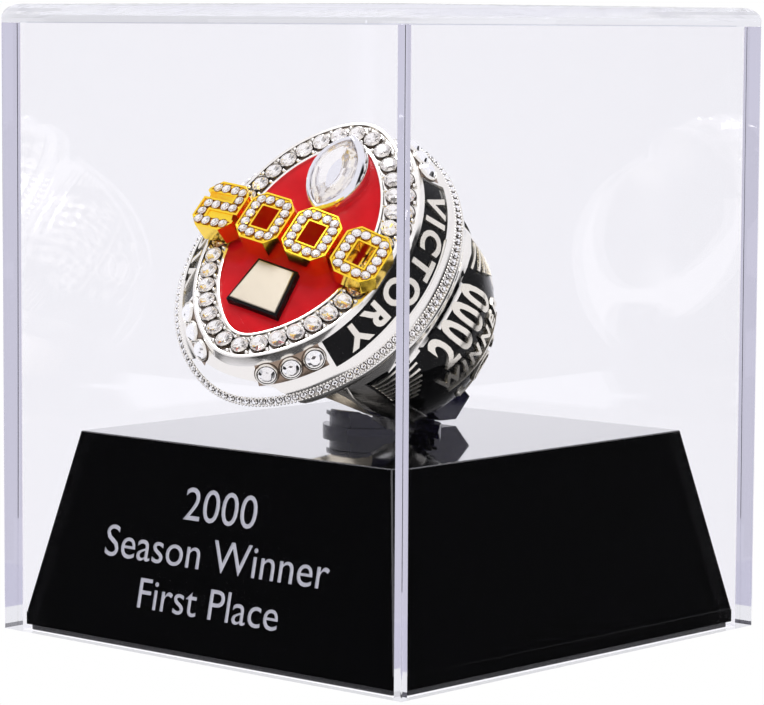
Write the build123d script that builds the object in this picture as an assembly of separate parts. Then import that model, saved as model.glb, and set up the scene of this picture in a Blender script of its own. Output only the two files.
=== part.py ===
"""Small clear display case with a black stand and a prize ring on a turning holder.

Millimetres, +Z up.  The origin is the middle of the case where it rests on the shelf.
The engraved side of the stand faces -Y.  The ring is drawn in a frame of its own (u across the
head, v along the finger hole, w out of the head) and then placed in the holder's tilted slot.
"""
from build123d import *
from math import asin, cos, degrees, hypot, pi, radians, sin, sqrt
import os

# ---------------------------------------------------------------- driving dimensions
# cover: five flat panels of clear acrylic, glued at the edges
CASE_W = 60.0            # outside, square in plan
CASE_H = 70.0
PANEL_T = 2.0
TOP_ROUND = 1.6          # polished round-over on the lid panel
COVER_GAP = 0.3          # between the cover's inside and the stand, each side

# stand: hollow four-sided frustum on a floor plate and a felt pad
STAND_W = CASE_W - 2 * PANEL_T - 2 * COVER_GAP
STAND_TOP_W = 46.7
STAND_TOP_Z = 22.5
FELT_W = 50.0
FELT_T = 0.6
FLOOR_T = 1.4
FLOOR_TOP_Z = FELT_T + FLOOR_T
SHELL_WALL = 2.2
EDGE_BREAK = 0.25        # polished edges of the stand
POST_R = 2.6             # screw posts inside the stand's corners
POST_AT = 20.0           # half the distance between posts
SCREW_R = 1.0
SCREW_HEAD_R = 2.0
SCREW_HEAD_T = 0.8
SCREW_LEN = 7.0

# holder: flanged plug that turns in the stand's top and carries a tilted slot
STEM_R = 3.0
BORE_GAP = 0.05
BORE_BOSS_R = 5.5
BORE_BOSS_DEPTH = 2.3    # below the underside of the top
FLANGE_R = 6.0
FLANGE_T = 0.8
PLUG_R = 5.25
PLUG_H = 2.6             # top of the plug above the stand
RIB_R = 5.6
RIB_T = 0.45
RIB_DROP = 0.2           # rib below the plug's top
WASHER_R = 5.0
WASHER_T = 0.8
WASHER_GAP = 0.15
STUD_R = 1.25
STUD_HEAD_R = 2.4
STUD_HEAD_T = 1.3
STUD_LEN = 5.0

# the nest: a tilted floor and rear wall that the ring's shank stands in
NEST_YAW = -4.1          # degrees, about the turning axis
NEST_TILT = 48.0         # degrees, rise of the ring's finger axis from level
NEST_X, NEST_Y, NEST_Z = -1.7, 6.2, 26.4
NEST_FRONT, NEST_REAR = 8.2, 7.97
NEST_DEPTH = 2.6
ARM_W = 5.0
ARM_WALL = 1.5
ARM_FLOOR = 1.6
LINER_T = 0.4
LINER_REACH = 2.4        # the floor liner starts this far in front of the nest's origin
RING_PLAY = 0.1

# ring
RING_ROLL = 22.8         # degrees about the finger axis, as it rests in the nest
HOLE_R = 10.4
BODY_U, BODY_V, BODY_W = 17.6, 14.8, 14.4    # half axes of the crowned shank and shoulders
BODY_SHIFT = 1.0         # the shank's middle lies this far up the finger axis
SHANK_HALF = 4.0         # half the shank's width at the bottom
SHANK_FLAT = 15.0        # degrees each side of the bottom where it stays that wide
SHOULDER_HALF = 11.4     # half width level with the finger axis
HEAD_HALF = 12.4         # half width where the shank meets the head
RIM_U, RIM_V, RIM_W = 14.7, 18.4, 7.0
FACE_U, FACE_V, FACE_TIP, FACE_W = 10.6, 15.4, 16.2, 13.2
FACE_DOME_R = 45.0
FIELD_U, FIELD_V, FIELD_TIP = 7.5, 12.1, 13.0
FIELD_DEPTH = 0.7
UNDERCUT_W = 4.6
UNDERCUT_SCALE = 0.86
CHANNEL_DEPTH = 0.5
CHANNEL_IN, CHANNEL_OUT = 0.08, 0.55     # across the slope, 0 at the face and 1 at the rim
CHANNEL_V = 10.3
PANEL_DEPTH = 0.5
PANEL_MARGIN = 1.6
PANEL_FROM_W, PANEL_TO_W = -12.4, 3.6
PANEL_FROM_U = 4.5

STONE_R = 1.0
STONE_CROWN = 0.45
STONE_SEAT = 0.5
BORDER_STONES = 36
ACCENT_R = 1.1
ACCENT_SHARE = 0.24
ACCENT_TURNS = (-68.0, -56.5, -45.5)     # degrees round the slope for the three larger stones

NUMERALS = "2000"
NUMERAL_W, NUMERAL_H, NUMERAL_T = 5.6, 6.3, 3.0
NUMERAL_PITCH = 5.95
NUMERAL_U = -0.3
NUMERAL_LIFT = 0.55      # the outer numerals bridge the border stones
NUMERAL_V = -0.5
NUMERAL_CUT = 1.2        # clipped corners
NUMERAL_BAR = 1.75
PAVE_R = 0.42
PAVE_H = 0.3
PAVE_SEAT = 0.15

GEM_LEN, GEM_W, GEM_V, GEM_PITCH = 8.6, 5.0, 8.6, 10.0
GEM_CROWN = 1.0
SETTING_WALL = 0.75
SETTING_H = 2.6
KEY_TOP, KEY_BOTTOM, KEY_H, KEY_V, KEY_T = 4.6, 6.0, 5.4, -7.2, 0.9


def export(node, shape):
    """One sub-part to its own STEP; loose solids of one node go out as a compound."""
    solids = shape if isinstance(shape, list) else list(shape.solids())
    whole = solids[0] if len(solids) == 1 else Compound(children=solids)
    whole.label = node
    export_step(whole, f"parts/{node}.step")
    print(node, len(solids), "solids", round(sum(s.volume for s in solids), 1), "mm3")


def box_between(low, high):
    size = [b - a for a, b in zip(low, high)]
    mid = [(a + b) / 2 for a, b in zip(low, high)]
    return Pos(*mid) * Box(*size)


def disc(radius, z_low, height):
    return Pos(0, 0, z_low + height / 2) * Cylinder(radius, height)


def square_frustum(low_w, low_z, high_w, high_z):
    low = Plane.XY.offset(low_z) * Rectangle(low_w, low_w)
    high = Plane.XY.offset(high_z) * Rectangle(high_w, high_w)
    return loft([low, high], ruled=True)


# ---------------------------------------------------------------- cover
def cover_parts():
    """Lid panel over four wall panels; front and rear cover the side panels' edges."""
    half, wall_top = CASE_W / 2, CASE_H - PANEL_T
    inner = half - PANEL_T
    lid = box_between((-half, -half, wall_top), (half, half, CASE_H))
    lid = fillet(lid.faces().sort_by(Axis.Z)[-1].edges(), TOP_ROUND)
    return {
        "cover_lid_panel": lid,
        "cover_front_panel": box_between((-half, -half, 0), (half, -inner, wall_top)),
        "cover_rear_panel": box_between((-half, inner, 0), (half, half, wall_top)),
        "cover_left_panel": box_between((-half, -inner, 0), (-inner, inner, wall_top)),
        "cover_right_panel": box_between((inner, -inner, 0), (half, inner, wall_top)),
    }


# ---------------------------------------------------------------- stand
def stand_width(z):
    """Outside width of the stand at height z."""
    share = (z - FLOOR_TOP_Z) / (STAND_TOP_Z - FLOOR_TOP_Z)
    return STAND_W + (STAND_TOP_W - STAND_W) * share


def stand_parts():
    roof_z = STAND_TOP_Z - SHELL_WALL
    post_spots = [(x, y) for x in (-POST_AT, POST_AT) for y in (-POST_AT, POST_AT)]
    shell = square_frustum(STAND_W, FLOOR_TOP_Z, STAND_TOP_W, STAND_TOP_Z)
    shell = fillet(shell.faces().sort_by(Axis.Z)[-1].edges(), EDGE_BREAK)
    hollow = square_frustum(STAND_W - 2 * SHELL_WALL, FLOOR_TOP_Z,
                            stand_width(roof_z) - 2 * SHELL_WALL, roof_z)
    shell -= hollow
    shell += disc(BORE_BOSS_R, roof_z - BORE_BOSS_DEPTH, BORE_BOSS_DEPTH)
    shell -= disc(STEM_R + BORE_GAP, roof_z - BORE_BOSS_DEPTH, SHELL_WALL + BORE_BOSS_DEPTH)
    outer = square_frustum(STAND_W, FLOOR_TOP_Z, STAND_TOP_W, STAND_TOP_Z)
    for x, y in post_spots:
        post = Pos(x, y, 0) * disc(POST_R, FLOOR_TOP_Z, roof_z - FLOOR_TOP_Z)
        shell += post & outer
    for x, y in post_spots:
        shell -= Pos(x, y, 0) * disc(SCREW_R, FLOOR_TOP_Z, SCREW_LEN)
    floor = box_between((-STAND_W / 2, -STAND_W / 2, FELT_T), (STAND_W / 2, STAND_W / 2, FLOOR_TOP_Z))
    screws = []
    for x, y in post_spots:
        head = disc(SCREW_HEAD_R, FELT_T, SCREW_HEAD_T)
        screw = head + disc(SCREW_R, FELT_T, FLOOR_T + SCREW_LEN - 0.2)
        screw -= box_between((-1.4, -0.25, FELT_T), (1.4, 0.25, FELT_T + 0.4))
        screws.append((Pos(x, y, 0) * screw).solid())
        floor -= Pos(x, y, 0) * (head + disc(SCREW_R, FELT_T, FLOOR_T))
    felt = box_between((-FELT_W / 2, -FELT_W / 2, 0), (FELT_W / 2, FELT_W / 2, FELT_T))
    felt = fillet(felt.edges().filter_by(Axis.Z), 2.0)
    return {"stand_shell": shell, "stand_floor": floor, "floor_screws": screws, "felt_pad": felt}


# ---------------------------------------------------------------- nest and ring frames
def nest_frame():
    """x across the ring, y along the finger axis, z out of the nest; origin on the nest's floor."""
    return Location((NEST_X, NEST_Y, NEST_Z)) * Rot(0, 0, NEST_YAW) * Rot(NEST_TILT, 0, 0)


def ring_frame():
    """The ring's own frame: origin in the middle of the finger hole."""
    turn = radians(RING_ROLL)
    reach = hypot(BODY_U * sin(turn), BODY_W * cos(turn))
    return nest_frame() * Pos(0, 0, reach + LINER_T + RING_PLAY) * Rot(0, RING_ROLL, 0)


def shank_half_width(turn):
    """Half the shank's width, turn degrees round from the bottom."""
    if turn <= SHANK_FLAT:
        return SHANK_HALF
    return SHANK_HALF + (SHOULDER_HALF - SHANK_HALF) * (turn - SHANK_FLAT) / (90 - SHANK_FLAT)


# ---------------------------------------------------------------- holder
def holder_parts():
    """Plug that turns in the stand's bore, with the ring's nest on it, and what keeps it in the bore."""
    frame = nest_frame()
    top = STAND_TOP_Z
    stem_low = top - SHELL_WALL - BORE_BOSS_DEPTH - WASHER_GAP
    plug = disc(FLANGE_R, top, FLANGE_T) + disc(PLUG_R, top, PLUG_H)
    plug += disc(RIB_R, top + PLUG_H - RIB_T - RIB_DROP, RIB_T)
    plug += disc(STEM_R, stem_low, top - stem_low)
    arm = frame * box_between((-ARM_W / 2, -NEST_FRONT, -ARM_FLOOR),
                              (ARM_W / 2, NEST_REAR + ARM_WALL, NEST_DEPTH))
    arm += frame * box_between((-ARM_W / 2, -1.0, -6.0), (ARM_W / 2, 4.0, 0))
    plug += arm & box_between((-20, -20, top + FLANGE_T / 2), (20, 20, top + 30))
    plug -= frame * box_between((-20, -NEST_FRONT, 0), (20, NEST_REAR, 30))
    rear = box_between((-ARM_W / 2, NEST_REAR - LINER_T, LINER_T), (ARM_W / 2, NEST_REAR, NEST_DEPTH))
    floor = box_between((-ARM_W / 2, -LINER_REACH, 0), (ARM_W / 2, NEST_REAR, LINER_T))
    plug -= disc(STUD_R, stem_low, STUD_LEN - WASHER_T)
    washer = disc(WASHER_R, stem_low - WASHER_T, WASHER_T) - disc(STUD_R, stem_low - WASHER_T, WASHER_T)
    head_low = stem_low - WASHER_T - STUD_HEAD_T
    screw = disc(STUD_HEAD_R, head_low, STUD_HEAD_T) + disc(STUD_R, head_low, STUD_HEAD_T + STUD_LEN - 0.2)
    for turn in (0, 90):
        screw -= Rot(0, 0, turn) * box_between((-1.5, -0.3, head_low), (1.5, 0.3, head_low + 0.7))
    return {"holder_plug": plug, "nest_liner_rear": frame * rear, "nest_liner_floor": frame * floor,
            "holder_washer": washer, "holder_screw": screw}


# ---------------------------------------------------------------- ring outlines
def face_w(u):
    """Height of the domed face at u."""
    return FACE_W - FACE_DOME_R + sqrt(FACE_DOME_R ** 2 - u ** 2)


def on_face(u, v):
    """Frame on the domed face, its z square to the face."""
    return Pos(u, v, face_w(u)) * Rot(0, degrees(asin(u / FACE_DOME_R)), 0)


def pointed_oval(half_u, half_v, tip):
    """Ellipse drawn out to a point at each end by its two tangents."""
    touch_v = half_v ** 2 / tip
    touch_u = half_u * sqrt(1 - (touch_v / half_v) ** 2)
    point = make_face(Polyline((0, tip), (touch_u, touch_v), (-touch_u, touch_v), close=True))
    return Ellipse(half_u, half_v) + point + mirror(point, Plane.XZ)


def slope_point(share, turn):
    """Point on the slope between face and rim: share 0 at the face, 1 at the rim."""
    half_u = FACE_U + (RIM_U - FACE_U) * share
    half_v = FACE_TIP + (RIM_V - FACE_TIP) * share
    u, v = half_u * cos(radians(turn)), half_v * sin(radians(turn))
    return u, v, face_w(FACE_U) + (RIM_W - face_w(FACE_U)) * share


def head_solid():
    """Sloping head: face, widest at the rim, and an undercut below it."""
    def oval(scale_u, scale_v, w):
        return Plane.XY.offset(w) * Ellipse(scale_u, scale_v)
    rise = (FACE_W - RIM_W) / (face_w(FACE_U) - RIM_W)
    top_u = RIM_U + (FACE_U - RIM_U) * rise
    top_v = RIM_V + (FACE_TIP - RIM_V) * rise
    upper = loft([oval(RIM_U, RIM_V, RIM_W), oval(top_u, top_v, FACE_W)], ruled=True)
    lower = loft([oval(RIM_U * UNDERCUT_SCALE, RIM_V * UNDERCUT_SCALE, UNDERCUT_W),
                  oval(RIM_U, RIM_V, RIM_W)], ruled=True)
    dome = Pos(0, 0, FACE_W - FACE_DOME_R) * Rot(90, 0, 0) * Cylinder(FACE_DOME_R, 60)
    return (upper + lower) & dome


def crowned_body(inset=0.0):
    """Egg-shaped solid that gives the shank and shoulders their crown."""
    egg = scale(Sphere(1), by=(BODY_U - inset, BODY_V - inset, BODY_W - inset))
    return Pos(0, BODY_SHIFT, 0) * egg


def shank_taper(inset=0.0):
    """Prism with the shank's width at each height, inset mm narrower each side."""
    top = RIM_W - 0.6
    side = [(0, -BODY_W - 1), (SHANK_HALF - inset, -BODY_W - 1)]
    turns = (SHANK_FLAT, 30, 45, 60, 75, 90)
    side += [(shank_half_width(t) - inset, -BODY_W * cos(radians(t))) for t in turns]
    side += [(HEAD_HALF - inset, top), (0, top)]
    half = make_face(Polyline(*side, close=True))
    return Pos(0, BODY_SHIFT, 0) * extrude(Plane.YZ * (half + mirror(half, Plane.YZ)), 20, both=True)


def shank_solid():
    return crowned_body() & shank_taper()


# ---------------------------------------------------------------- ring stones
def stone(radius, crown, seat):
    """Round stone: its seat is a short cylinder, its crown a cut cone."""
    girdle = Pos(0, 0, -seat / 2) * Cylinder(radius, seat)
    return girdle + Pos(0, 0, crown / 2) * Cone(radius, radius * 0.55, crown)


def even_spots(half_u, half_v, tip, count):
    """Evenly spaced points round the pointed oval between two outlines."""
    steps = 720
    walk = []
    for i in range(steps + 1):
        t = 2 * pi * i / steps
        stretch = 1 + (tip / half_v - 1) * abs(sin(t)) ** 12
        walk.append((half_u * cos(t), half_v * sin(t) * stretch))
    runs = [0.0]
    for a, b in zip(walk, walk[1:]):
        runs.append(runs[-1] + hypot(b[0] - a[0], b[1] - a[1]))
    spots, k = [], 0
    for n in range(count):
        goal = runs[-1] * (n + 0.5) / count
        while runs[k + 1] < goal:
            k += 1
        part = (goal - runs[k]) / (runs[k + 1] - runs[k])
        spots.append(tuple(a + (b - a) * part for a, b in zip(walk[k], walk[k + 1])))
    return spots


def border_frames():
    mid = [(a + b) / 2 for a, b in ((FACE_U, FIELD_U), (FACE_V, FIELD_V), (FACE_TIP, FIELD_TIP))]
    return [on_face(u, v) for u, v in even_spots(*mid, BORDER_STONES)]


def slope_frame(share, turn):
    """Frame on the slope, its z square to it."""
    u, v, w = slope_point(share, turn)
    u2, v2, w2 = slope_point(share + 0.05, turn)
    u3, v3, w3 = slope_point(share, turn + 1)
    down = Vector(u2 - u, v2 - v, w2 - w)
    along = Vector(u3 - u, v3 - v, w3 - w)
    normal = down.cross(along)
    return Plane(origin=(u, v, w), x_dir=along, z_dir=normal).location


def accent_frames():
    turns = list(ACCENT_TURNS) + [180 - t for t in ACCENT_TURNS]
    return [slope_frame(ACCENT_SHARE, t) for t in turns]


# ---------------------------------------------------------------- ring face pieces
def numeral_outline(digit):
    """Block numeral with clipped corners, its counters open."""
    face = Rectangle(NUMERAL_W, NUMERAL_H)
    face = chamfer(face.vertices(), NUMERAL_CUT)
    gap_w, gap_h = NUMERAL_W - 2 * NUMERAL_BAR, NUMERAL_H - 2 * NUMERAL_BAR
    if digit == "0":
        return face - Rectangle(gap_w, gap_h)
    notch_h = 0.75
    reach = NUMERAL_W - NUMERAL_BAR
    for side, mid_v in ((-1, 1), (1, -1)):
        notch = Pos(side * (NUMERAL_W / 2 - reach / 2 + 0.5), mid_v * 1.15) * Rectangle(reach + 1, notch_h)
        face -= notch
    return face


def numeral_frames():
    return [on_face((k - 1.5) * NUMERAL_PITCH + NUMERAL_U, NUMERAL_V) for k in range(4)]


def pave_spots(digit):
    """Places of the small stones on a numeral's face."""
    half_w = (NUMERAL_W - NUMERAL_BAR) / 2
    half_h = (NUMERAL_H - NUMERAL_BAR) / 2
    cols = [-half_w, -half_w / 3, half_w / 3, half_w]
    if digit == "0":
        sides = [(s * half_w, v) for s in (-1, 1) for v in (-half_h / 2, 0, half_h / 2)]
        ends = [(u, s * half_h) for s in (-1, 1) for u in cols[1:3]]
        corners = [(s * half_w * 0.88, t * half_h * 0.92) for s in (-1, 1) for t in (-1, 1)]
        return sides + ends + corners
    rows = [(u, v) for v in (-half_h, 0, half_h) for u in cols[1:3]]
    ends = [(s * half_w * 0.9, v) for s in (-1, 1) for v in (-half_h * 0.97, 0, half_h * 0.97)]
    return rows + ends + [(half_w, half_h / 2), (-half_w, -half_h / 2)]


def marquise(length, width):
    radius = (length ** 2 + width ** 2) / (4 * width)
    shift = radius - width / 2
    return Pos(-shift, 0) * Circle(radius) & Pos(shift, 0) * Circle(radius)


def gem_frame():
    """Frame of the large stone's girdle, raised and pitched towards the numerals."""
    return Pos(0, GEM_V, FACE_W + SETTING_H - 0.9) * Rot(GEM_PITCH, 0, 0)


def dome_body(drop=0.0):
    """Everything under the domed face, or under a surface drop mm below it."""
    return Pos(0, 0, FACE_W - FACE_DOME_R - drop) * Rot(90, 0, 0) * Cylinder(FACE_DOME_R, 60)


def field_solid():
    """Red enamel field, let into the face."""
    plan = extrude(pointed_oval(FIELD_U, FIELD_V, FIELD_TIP), 20)
    return (plan & dome_body() & box_between((-20, -20, 8), (20, 20, 20))) - dome_body(FIELD_DEPTH)


def channel_solid(side):
    """Black enamel channel in the slope, on the side given."""
    w_top, w_low = [slope_point(s, 0)[2] for s in (CHANNEL_IN, CHANNEL_OUT)]
    low, high = sorted((side * 5.0, side * 20.0))
    ring_u = [slope_point(s, 0)[0] - CHANNEL_DEPTH for s in (0, 1)]
    ring_v = [slope_point(s, 90)[1] - CHANNEL_DEPTH for s in (0, 1)]
    core = loft([Plane.XY.offset(RIM_W) * Ellipse(ring_u[1], ring_v[1]),
                 Plane.XY.offset(slope_point(0, 0)[2]) * Ellipse(ring_u[0], ring_v[0])], ruled=True)
    return (head_solid() & box_between((low, -CHANNEL_V, w_low), (high, CHANNEL_V, w_top))) - core


def shoulder_solid(side):
    """Black enamel panel on a shoulder, on the side given."""
    low, high = sorted((side * PANEL_FROM_U, side * 20.0))
    slab = box_between((low, -20, PANEL_FROM_W), (high, 20, PANEL_TO_W))
    return (crowned_body() & shank_taper(PANEL_MARGIN) & slab) - crowned_body(PANEL_DEPTH)


def seat_cut(frame, radius, seat):
    return frame * Pos(0, 0, (1 - seat) / 2) * Cylinder(radius, 1 + seat)


def setting_parts():
    """Thick bezel wall with the large clear stone in it."""
    frame = gem_frame()
    outer_plan = marquise(GEM_LEN + 2 * SETTING_WALL, GEM_W + 2 * SETTING_WALL)
    outer = frame * extrude(outer_plan, SETTING_H + 3, dir=(0, 0, -1))
    wall = outer - dome_body()
    pocket = frame * extrude(marquise(GEM_LEN, GEM_W), GEM_CROWN, dir=(0, 0, -1))
    gem_low = extrude(marquise(GEM_LEN, GEM_W), GEM_CROWN, dir=(0, 0, -1))
    gem_high = extrude(marquise(GEM_LEN, GEM_W), GEM_CROWN, taper=50)
    return {"gem_setting": wall - pocket, "clear_gem": frame * (gem_low + gem_high)}


def keystone_solid():
    """Plain tapered silver plate below the numerals."""
    plate = Polyline((-KEY_TOP / 2, KEY_H / 2), (KEY_TOP / 2, KEY_H / 2),
                     (KEY_BOTTOM / 2, -KEY_H / 2), (-KEY_BOTTOM / 2, -KEY_H / 2), close=True)
    prism = Pos(0, KEY_V, FACE_W + KEY_T) * extrude(make_face(plate), KEY_T + 1, dir=(0, 0, -1))
    return prism - dome_body()


def ring_parts():
    """Every piece of the ring, in the ring's own frame."""
    parts = {"enamel_field": field_solid()}
    for name, side in (("left", -1), ("right", 1)):
        parts[f"channel_enamel_{name}"] = channel_solid(side)
        parts[f"shoulder_enamel_{name}"] = shoulder_solid(side)
    casting = head_solid() + shank_solid() - Rot(90, 0, 0) * Cylinder(HOLE_R, 60)
    for inlay in parts.values():
        casting -= inlay
    for frames, radius, name in ((border_frames(), STONE_R, "border_stones"),
                                 (accent_frames(), ACCENT_R, "accent_stones")):
        parts[name] = [(f * stone(radius, STONE_CROWN, STONE_SEAT)).solid() for f in frames]
        for f in frames:
            casting -= seat_cut(f, radius, STONE_SEAT)
    parts["ring_casting"] = casting
    pave = []
    for k, (digit, frame) in enumerate(zip(NUMERALS, numeral_frames())):
        face = frame * Pos(0, 0, NUMERAL_T)
        body = face * extrude(numeral_outline(digit), NUMERAL_T + 2, dir=(0, 0, -1)) - dome_body()
        for low, high in ((-20, -FIELD_U), (FIELD_U, 20)):
            body -= dome_body(-NUMERAL_LIFT) & box_between((low, -20, 8), (high, 20, 20))
        for u, v in pave_spots(digit):
            seat = face * Pos(u, v, 0)
            pave.append((seat * stone(PAVE_R, PAVE_H, PAVE_SEAT)).solid())
            body -= seat_cut(seat, PAVE_R, PAVE_SEAT)
        parts[f"numeral_{k + 1}"] = body
    parts["numeral_stones"] = pave
    parts.update(setting_parts())
    parts["keystone_plate"] = keystone_solid()
    return parts


def place(shape, frame):
    """A piece, or each loose solid of a group, carried from its own frame to the case's."""
    if isinstance(shape, list):
        return [frame * solid for solid in shape]
    return frame * shape


if __name__ == "__main__":
    os.makedirs("parts", exist_ok=True)
    everything = {**cover_parts(), **stand_parts(), **holder_parts()}
    for node, shape in ring_parts().items():
        everything[node] = place(shape, ring_frame())
    for node, shape in everything.items():
        export(node, shape)
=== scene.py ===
# %% [markdown]
# # A prize ring in a clear display case
# The case is a small acrylic box that lifts off a black engraved stand.  A dark plug turns in the
# stand's top and carries one heavy prize ring.  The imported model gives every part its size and
# place.  This lesson gives each part its looks: rounded edges, cut stones, raised letters, enamel
# and polished metal.

# %% Load the frame
import math

import bmesh
import bpy
from mathutils import Matrix, Vector


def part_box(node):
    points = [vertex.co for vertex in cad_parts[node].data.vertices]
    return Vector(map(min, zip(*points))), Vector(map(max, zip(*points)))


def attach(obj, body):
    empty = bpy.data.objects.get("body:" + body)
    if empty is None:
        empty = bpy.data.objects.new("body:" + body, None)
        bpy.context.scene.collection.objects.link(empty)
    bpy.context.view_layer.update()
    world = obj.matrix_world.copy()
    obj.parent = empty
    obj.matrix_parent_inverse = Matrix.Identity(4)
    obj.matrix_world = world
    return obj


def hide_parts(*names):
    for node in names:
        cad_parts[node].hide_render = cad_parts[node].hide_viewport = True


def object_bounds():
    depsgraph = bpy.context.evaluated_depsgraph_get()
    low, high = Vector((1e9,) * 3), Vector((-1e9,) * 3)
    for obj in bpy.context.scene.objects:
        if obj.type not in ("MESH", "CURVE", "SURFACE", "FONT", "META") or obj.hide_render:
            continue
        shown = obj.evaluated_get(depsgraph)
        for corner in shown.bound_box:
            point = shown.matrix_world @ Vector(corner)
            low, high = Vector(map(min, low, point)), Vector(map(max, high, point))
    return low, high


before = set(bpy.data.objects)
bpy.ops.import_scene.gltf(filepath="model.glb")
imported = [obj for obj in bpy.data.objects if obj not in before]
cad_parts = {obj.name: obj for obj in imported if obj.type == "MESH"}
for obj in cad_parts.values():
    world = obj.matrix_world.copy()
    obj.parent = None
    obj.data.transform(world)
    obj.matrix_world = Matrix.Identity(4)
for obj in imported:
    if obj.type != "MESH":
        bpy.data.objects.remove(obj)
cad_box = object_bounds()
print("case, metres:", [round(v, 4) for v in cad_box[1] - cad_box[0]])

# %% [markdown]
# Everything is drawn in millimetres, as a jeweller would, and turned into metres when a piece is
# finished.  A finished piece sits at the origin with its place in its mesh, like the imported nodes.

# %% Finish a piece
MM = 0.001
TO_METRES = Matrix.Scale(MM, 4)


def as_mesh(bm, name):
    """Moves a bmesh into a new mesh."""
    mesh = bpy.data.meshes.new(name)
    bm.to_mesh(mesh)
    bm.free()
    return mesh


def finish_piece(name, bm, finishes, body, place=None, smooth=35.0):
    """Turns a bmesh in millimetres into a finished object that rides on a body."""
    bmesh.ops.transform(bm, matrix=TO_METRES @ (place or Matrix()), verts=bm.verts)
    mesh = as_mesh(bm, name)
    piece = bpy.data.objects.new(name, mesh)
    bpy.context.scene.collection.objects.link(piece)
    for finish in finishes:
        mesh.materials.append(finish)
    if smooth:
        mesh.shade_smooth()
        mesh.set_sharp_from_angle(angle=math.radians(smooth))
    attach(piece, body)
    print(name, len(mesh.polygons), "faces")
    return piece


def round_edges(piece, width, segments=2, angle=40.0):
    """Breaks a piece's sharp edges by width millimetres."""
    bevel = piece.modifiers.new("broken edges", "BEVEL")
    bevel.width = width * MM
    bevel.segments = segments
    bevel.limit_method = "ANGLE"
    bevel.angle_limit = math.radians(angle)
    bevel.use_clamp_overlap = True
    return bevel


def apply_modifiers(piece):
    """Turns a piece's modifiers into mesh."""
    graph = bpy.context.evaluated_depsgraph_get()
    made = bpy.data.meshes.new_from_object(piece.evaluated_get(graph))
    piece.modifiers.clear()
    piece.data = made


# %% [markdown]
# Colours are written as the usual sRGB hex values.  Blender's sockets want linear numbers, so one
# function turns them.  A second small function adds any node with its settings and links.

# %% Colour and node helpers
def linear(hex_colour, alpha=1.0):
    """sRGB hex to linear RGBA."""
    parts = [int(hex_colour[i:i + 2], 16) / 255 for i in (1, 3, 5)]
    return [c / 12.92 if c <= 0.04045 else ((c + 0.055) / 1.055) ** 2.4 for c in parts] + [alpha]


def add(tree, kind, links=None, **settings):
    """Adds a node.  Settings are its properties or sockets; links give a socket, by name or
    number, another node's output or a plain value."""
    node = tree.nodes.new(kind)
    for key, value in settings.items():
        if hasattr(node, key):
            setattr(node, key, value)
        else:
            node.inputs[key.replace("_", " ")].default_value = value
    for key, source in (links or {}).items():
        if isinstance(source, bpy.types.NodeSocket):
            tree.links.new(source, node.inputs[key])
        else:
            node.inputs[key].default_value = source
    return node


def new_material(name):
    """An empty node material and its tree."""
    material = bpy.data.materials.new(name)
    material.use_nodes = True
    material.node_tree.nodes.clear()
    return material, material.node_tree


def show(tree, shader):
    """Sends a shader to the material's output."""
    add(tree, "ShaderNodeOutputMaterial", {"Surface": shader})


# %% [markdown]
# A pattern's scale is worked out from a real size.  Object coordinates are in metres, so a grain
# of 0.5 mm needs a noise scale of 1 / 0.0005.  No real surface is even, so most finishes here are a
# plain shader with one noise on top.  It varies the gloss, the colour or the relief.

# %% Pattern and finish helpers
def grain(tree, size_mm, detail=2.0, stretch=(1, 1, 1)):
    """Noise whose grains are about size_mm across, read in the object's own coordinates."""
    where = add(tree, "ShaderNodeTexCoord").outputs["Object"]
    turned = add(tree, "ShaderNodeMapping", {"Vector": where}, Scale=stretch)
    return add(tree, "ShaderNodeTexNoise", {"Vector": turned.outputs["Vector"]},
               Scale=1 / (size_mm * MM), Detail=detail, Roughness=0.55)


def between(tree, factor, low, high):
    """A value that runs from low to high as factor runs over the noise's usual middle range."""
    return add(tree, "ShaderNodeMapRange", {"Value": factor},
               From_Min=0.3, From_Max=0.7, To_Min=low, To_Max=high).outputs["Result"]


def grained_finish(name, size_mm, colour, rough, detail=2.0, stretch=(1, 1, 1), relief=None,
                   tones_at=(0, 1), **shader):
    """One shader and one noise.  A pair of colours or of roughness values is a range that the
    noise runs through; relief is the bump's strength and its depth in millimetres."""
    material, tree = new_material(name)
    noise = grain(tree, size_mm, detail, stretch).outputs["Fac"]
    links = {"Roughness": between(tree, noise, *rough) if isinstance(rough, tuple) else rough}
    if isinstance(colour, tuple):
        tone = add(tree, "ShaderNodeValToRGB", {"Fac": noise})
        for element, shade, at in zip(tone.color_ramp.elements, colour, tones_at):
            element.position, element.color = at, linear(shade)
        links["Base Color"] = tone.outputs["Color"]
    else:
        links["Base Color"] = linear(colour)
    if relief:
        bump = add(tree, "ShaderNodeBump", {"Height": noise}, Strength=relief[0],
                   Distance=relief[1] * MM)
        links["Normal"] = bump.outputs["Normal"]
    show(tree, add(tree, "ShaderNodeBsdfPrincipled", links, **shader).outputs[0])
    return material


# %% [markdown]
# ## Finishes of the case
# Cast acrylic is almost colourless and bends light by 1.49.  Real panes let lamps through, but a
# renderer would have to find every lamp through the glass by luck.  So shadow rays, and rays that
# start outside the wall after a bounce, go straight through, and only what is seen through the
# pane is bent.  The lid's buffed edge scatters the light in its rounding, so most of what is seen
# there is the backdrop straight behind it.

# %% Clear cast acrylic
ACRYLIC_IOR = 1.49


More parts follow.
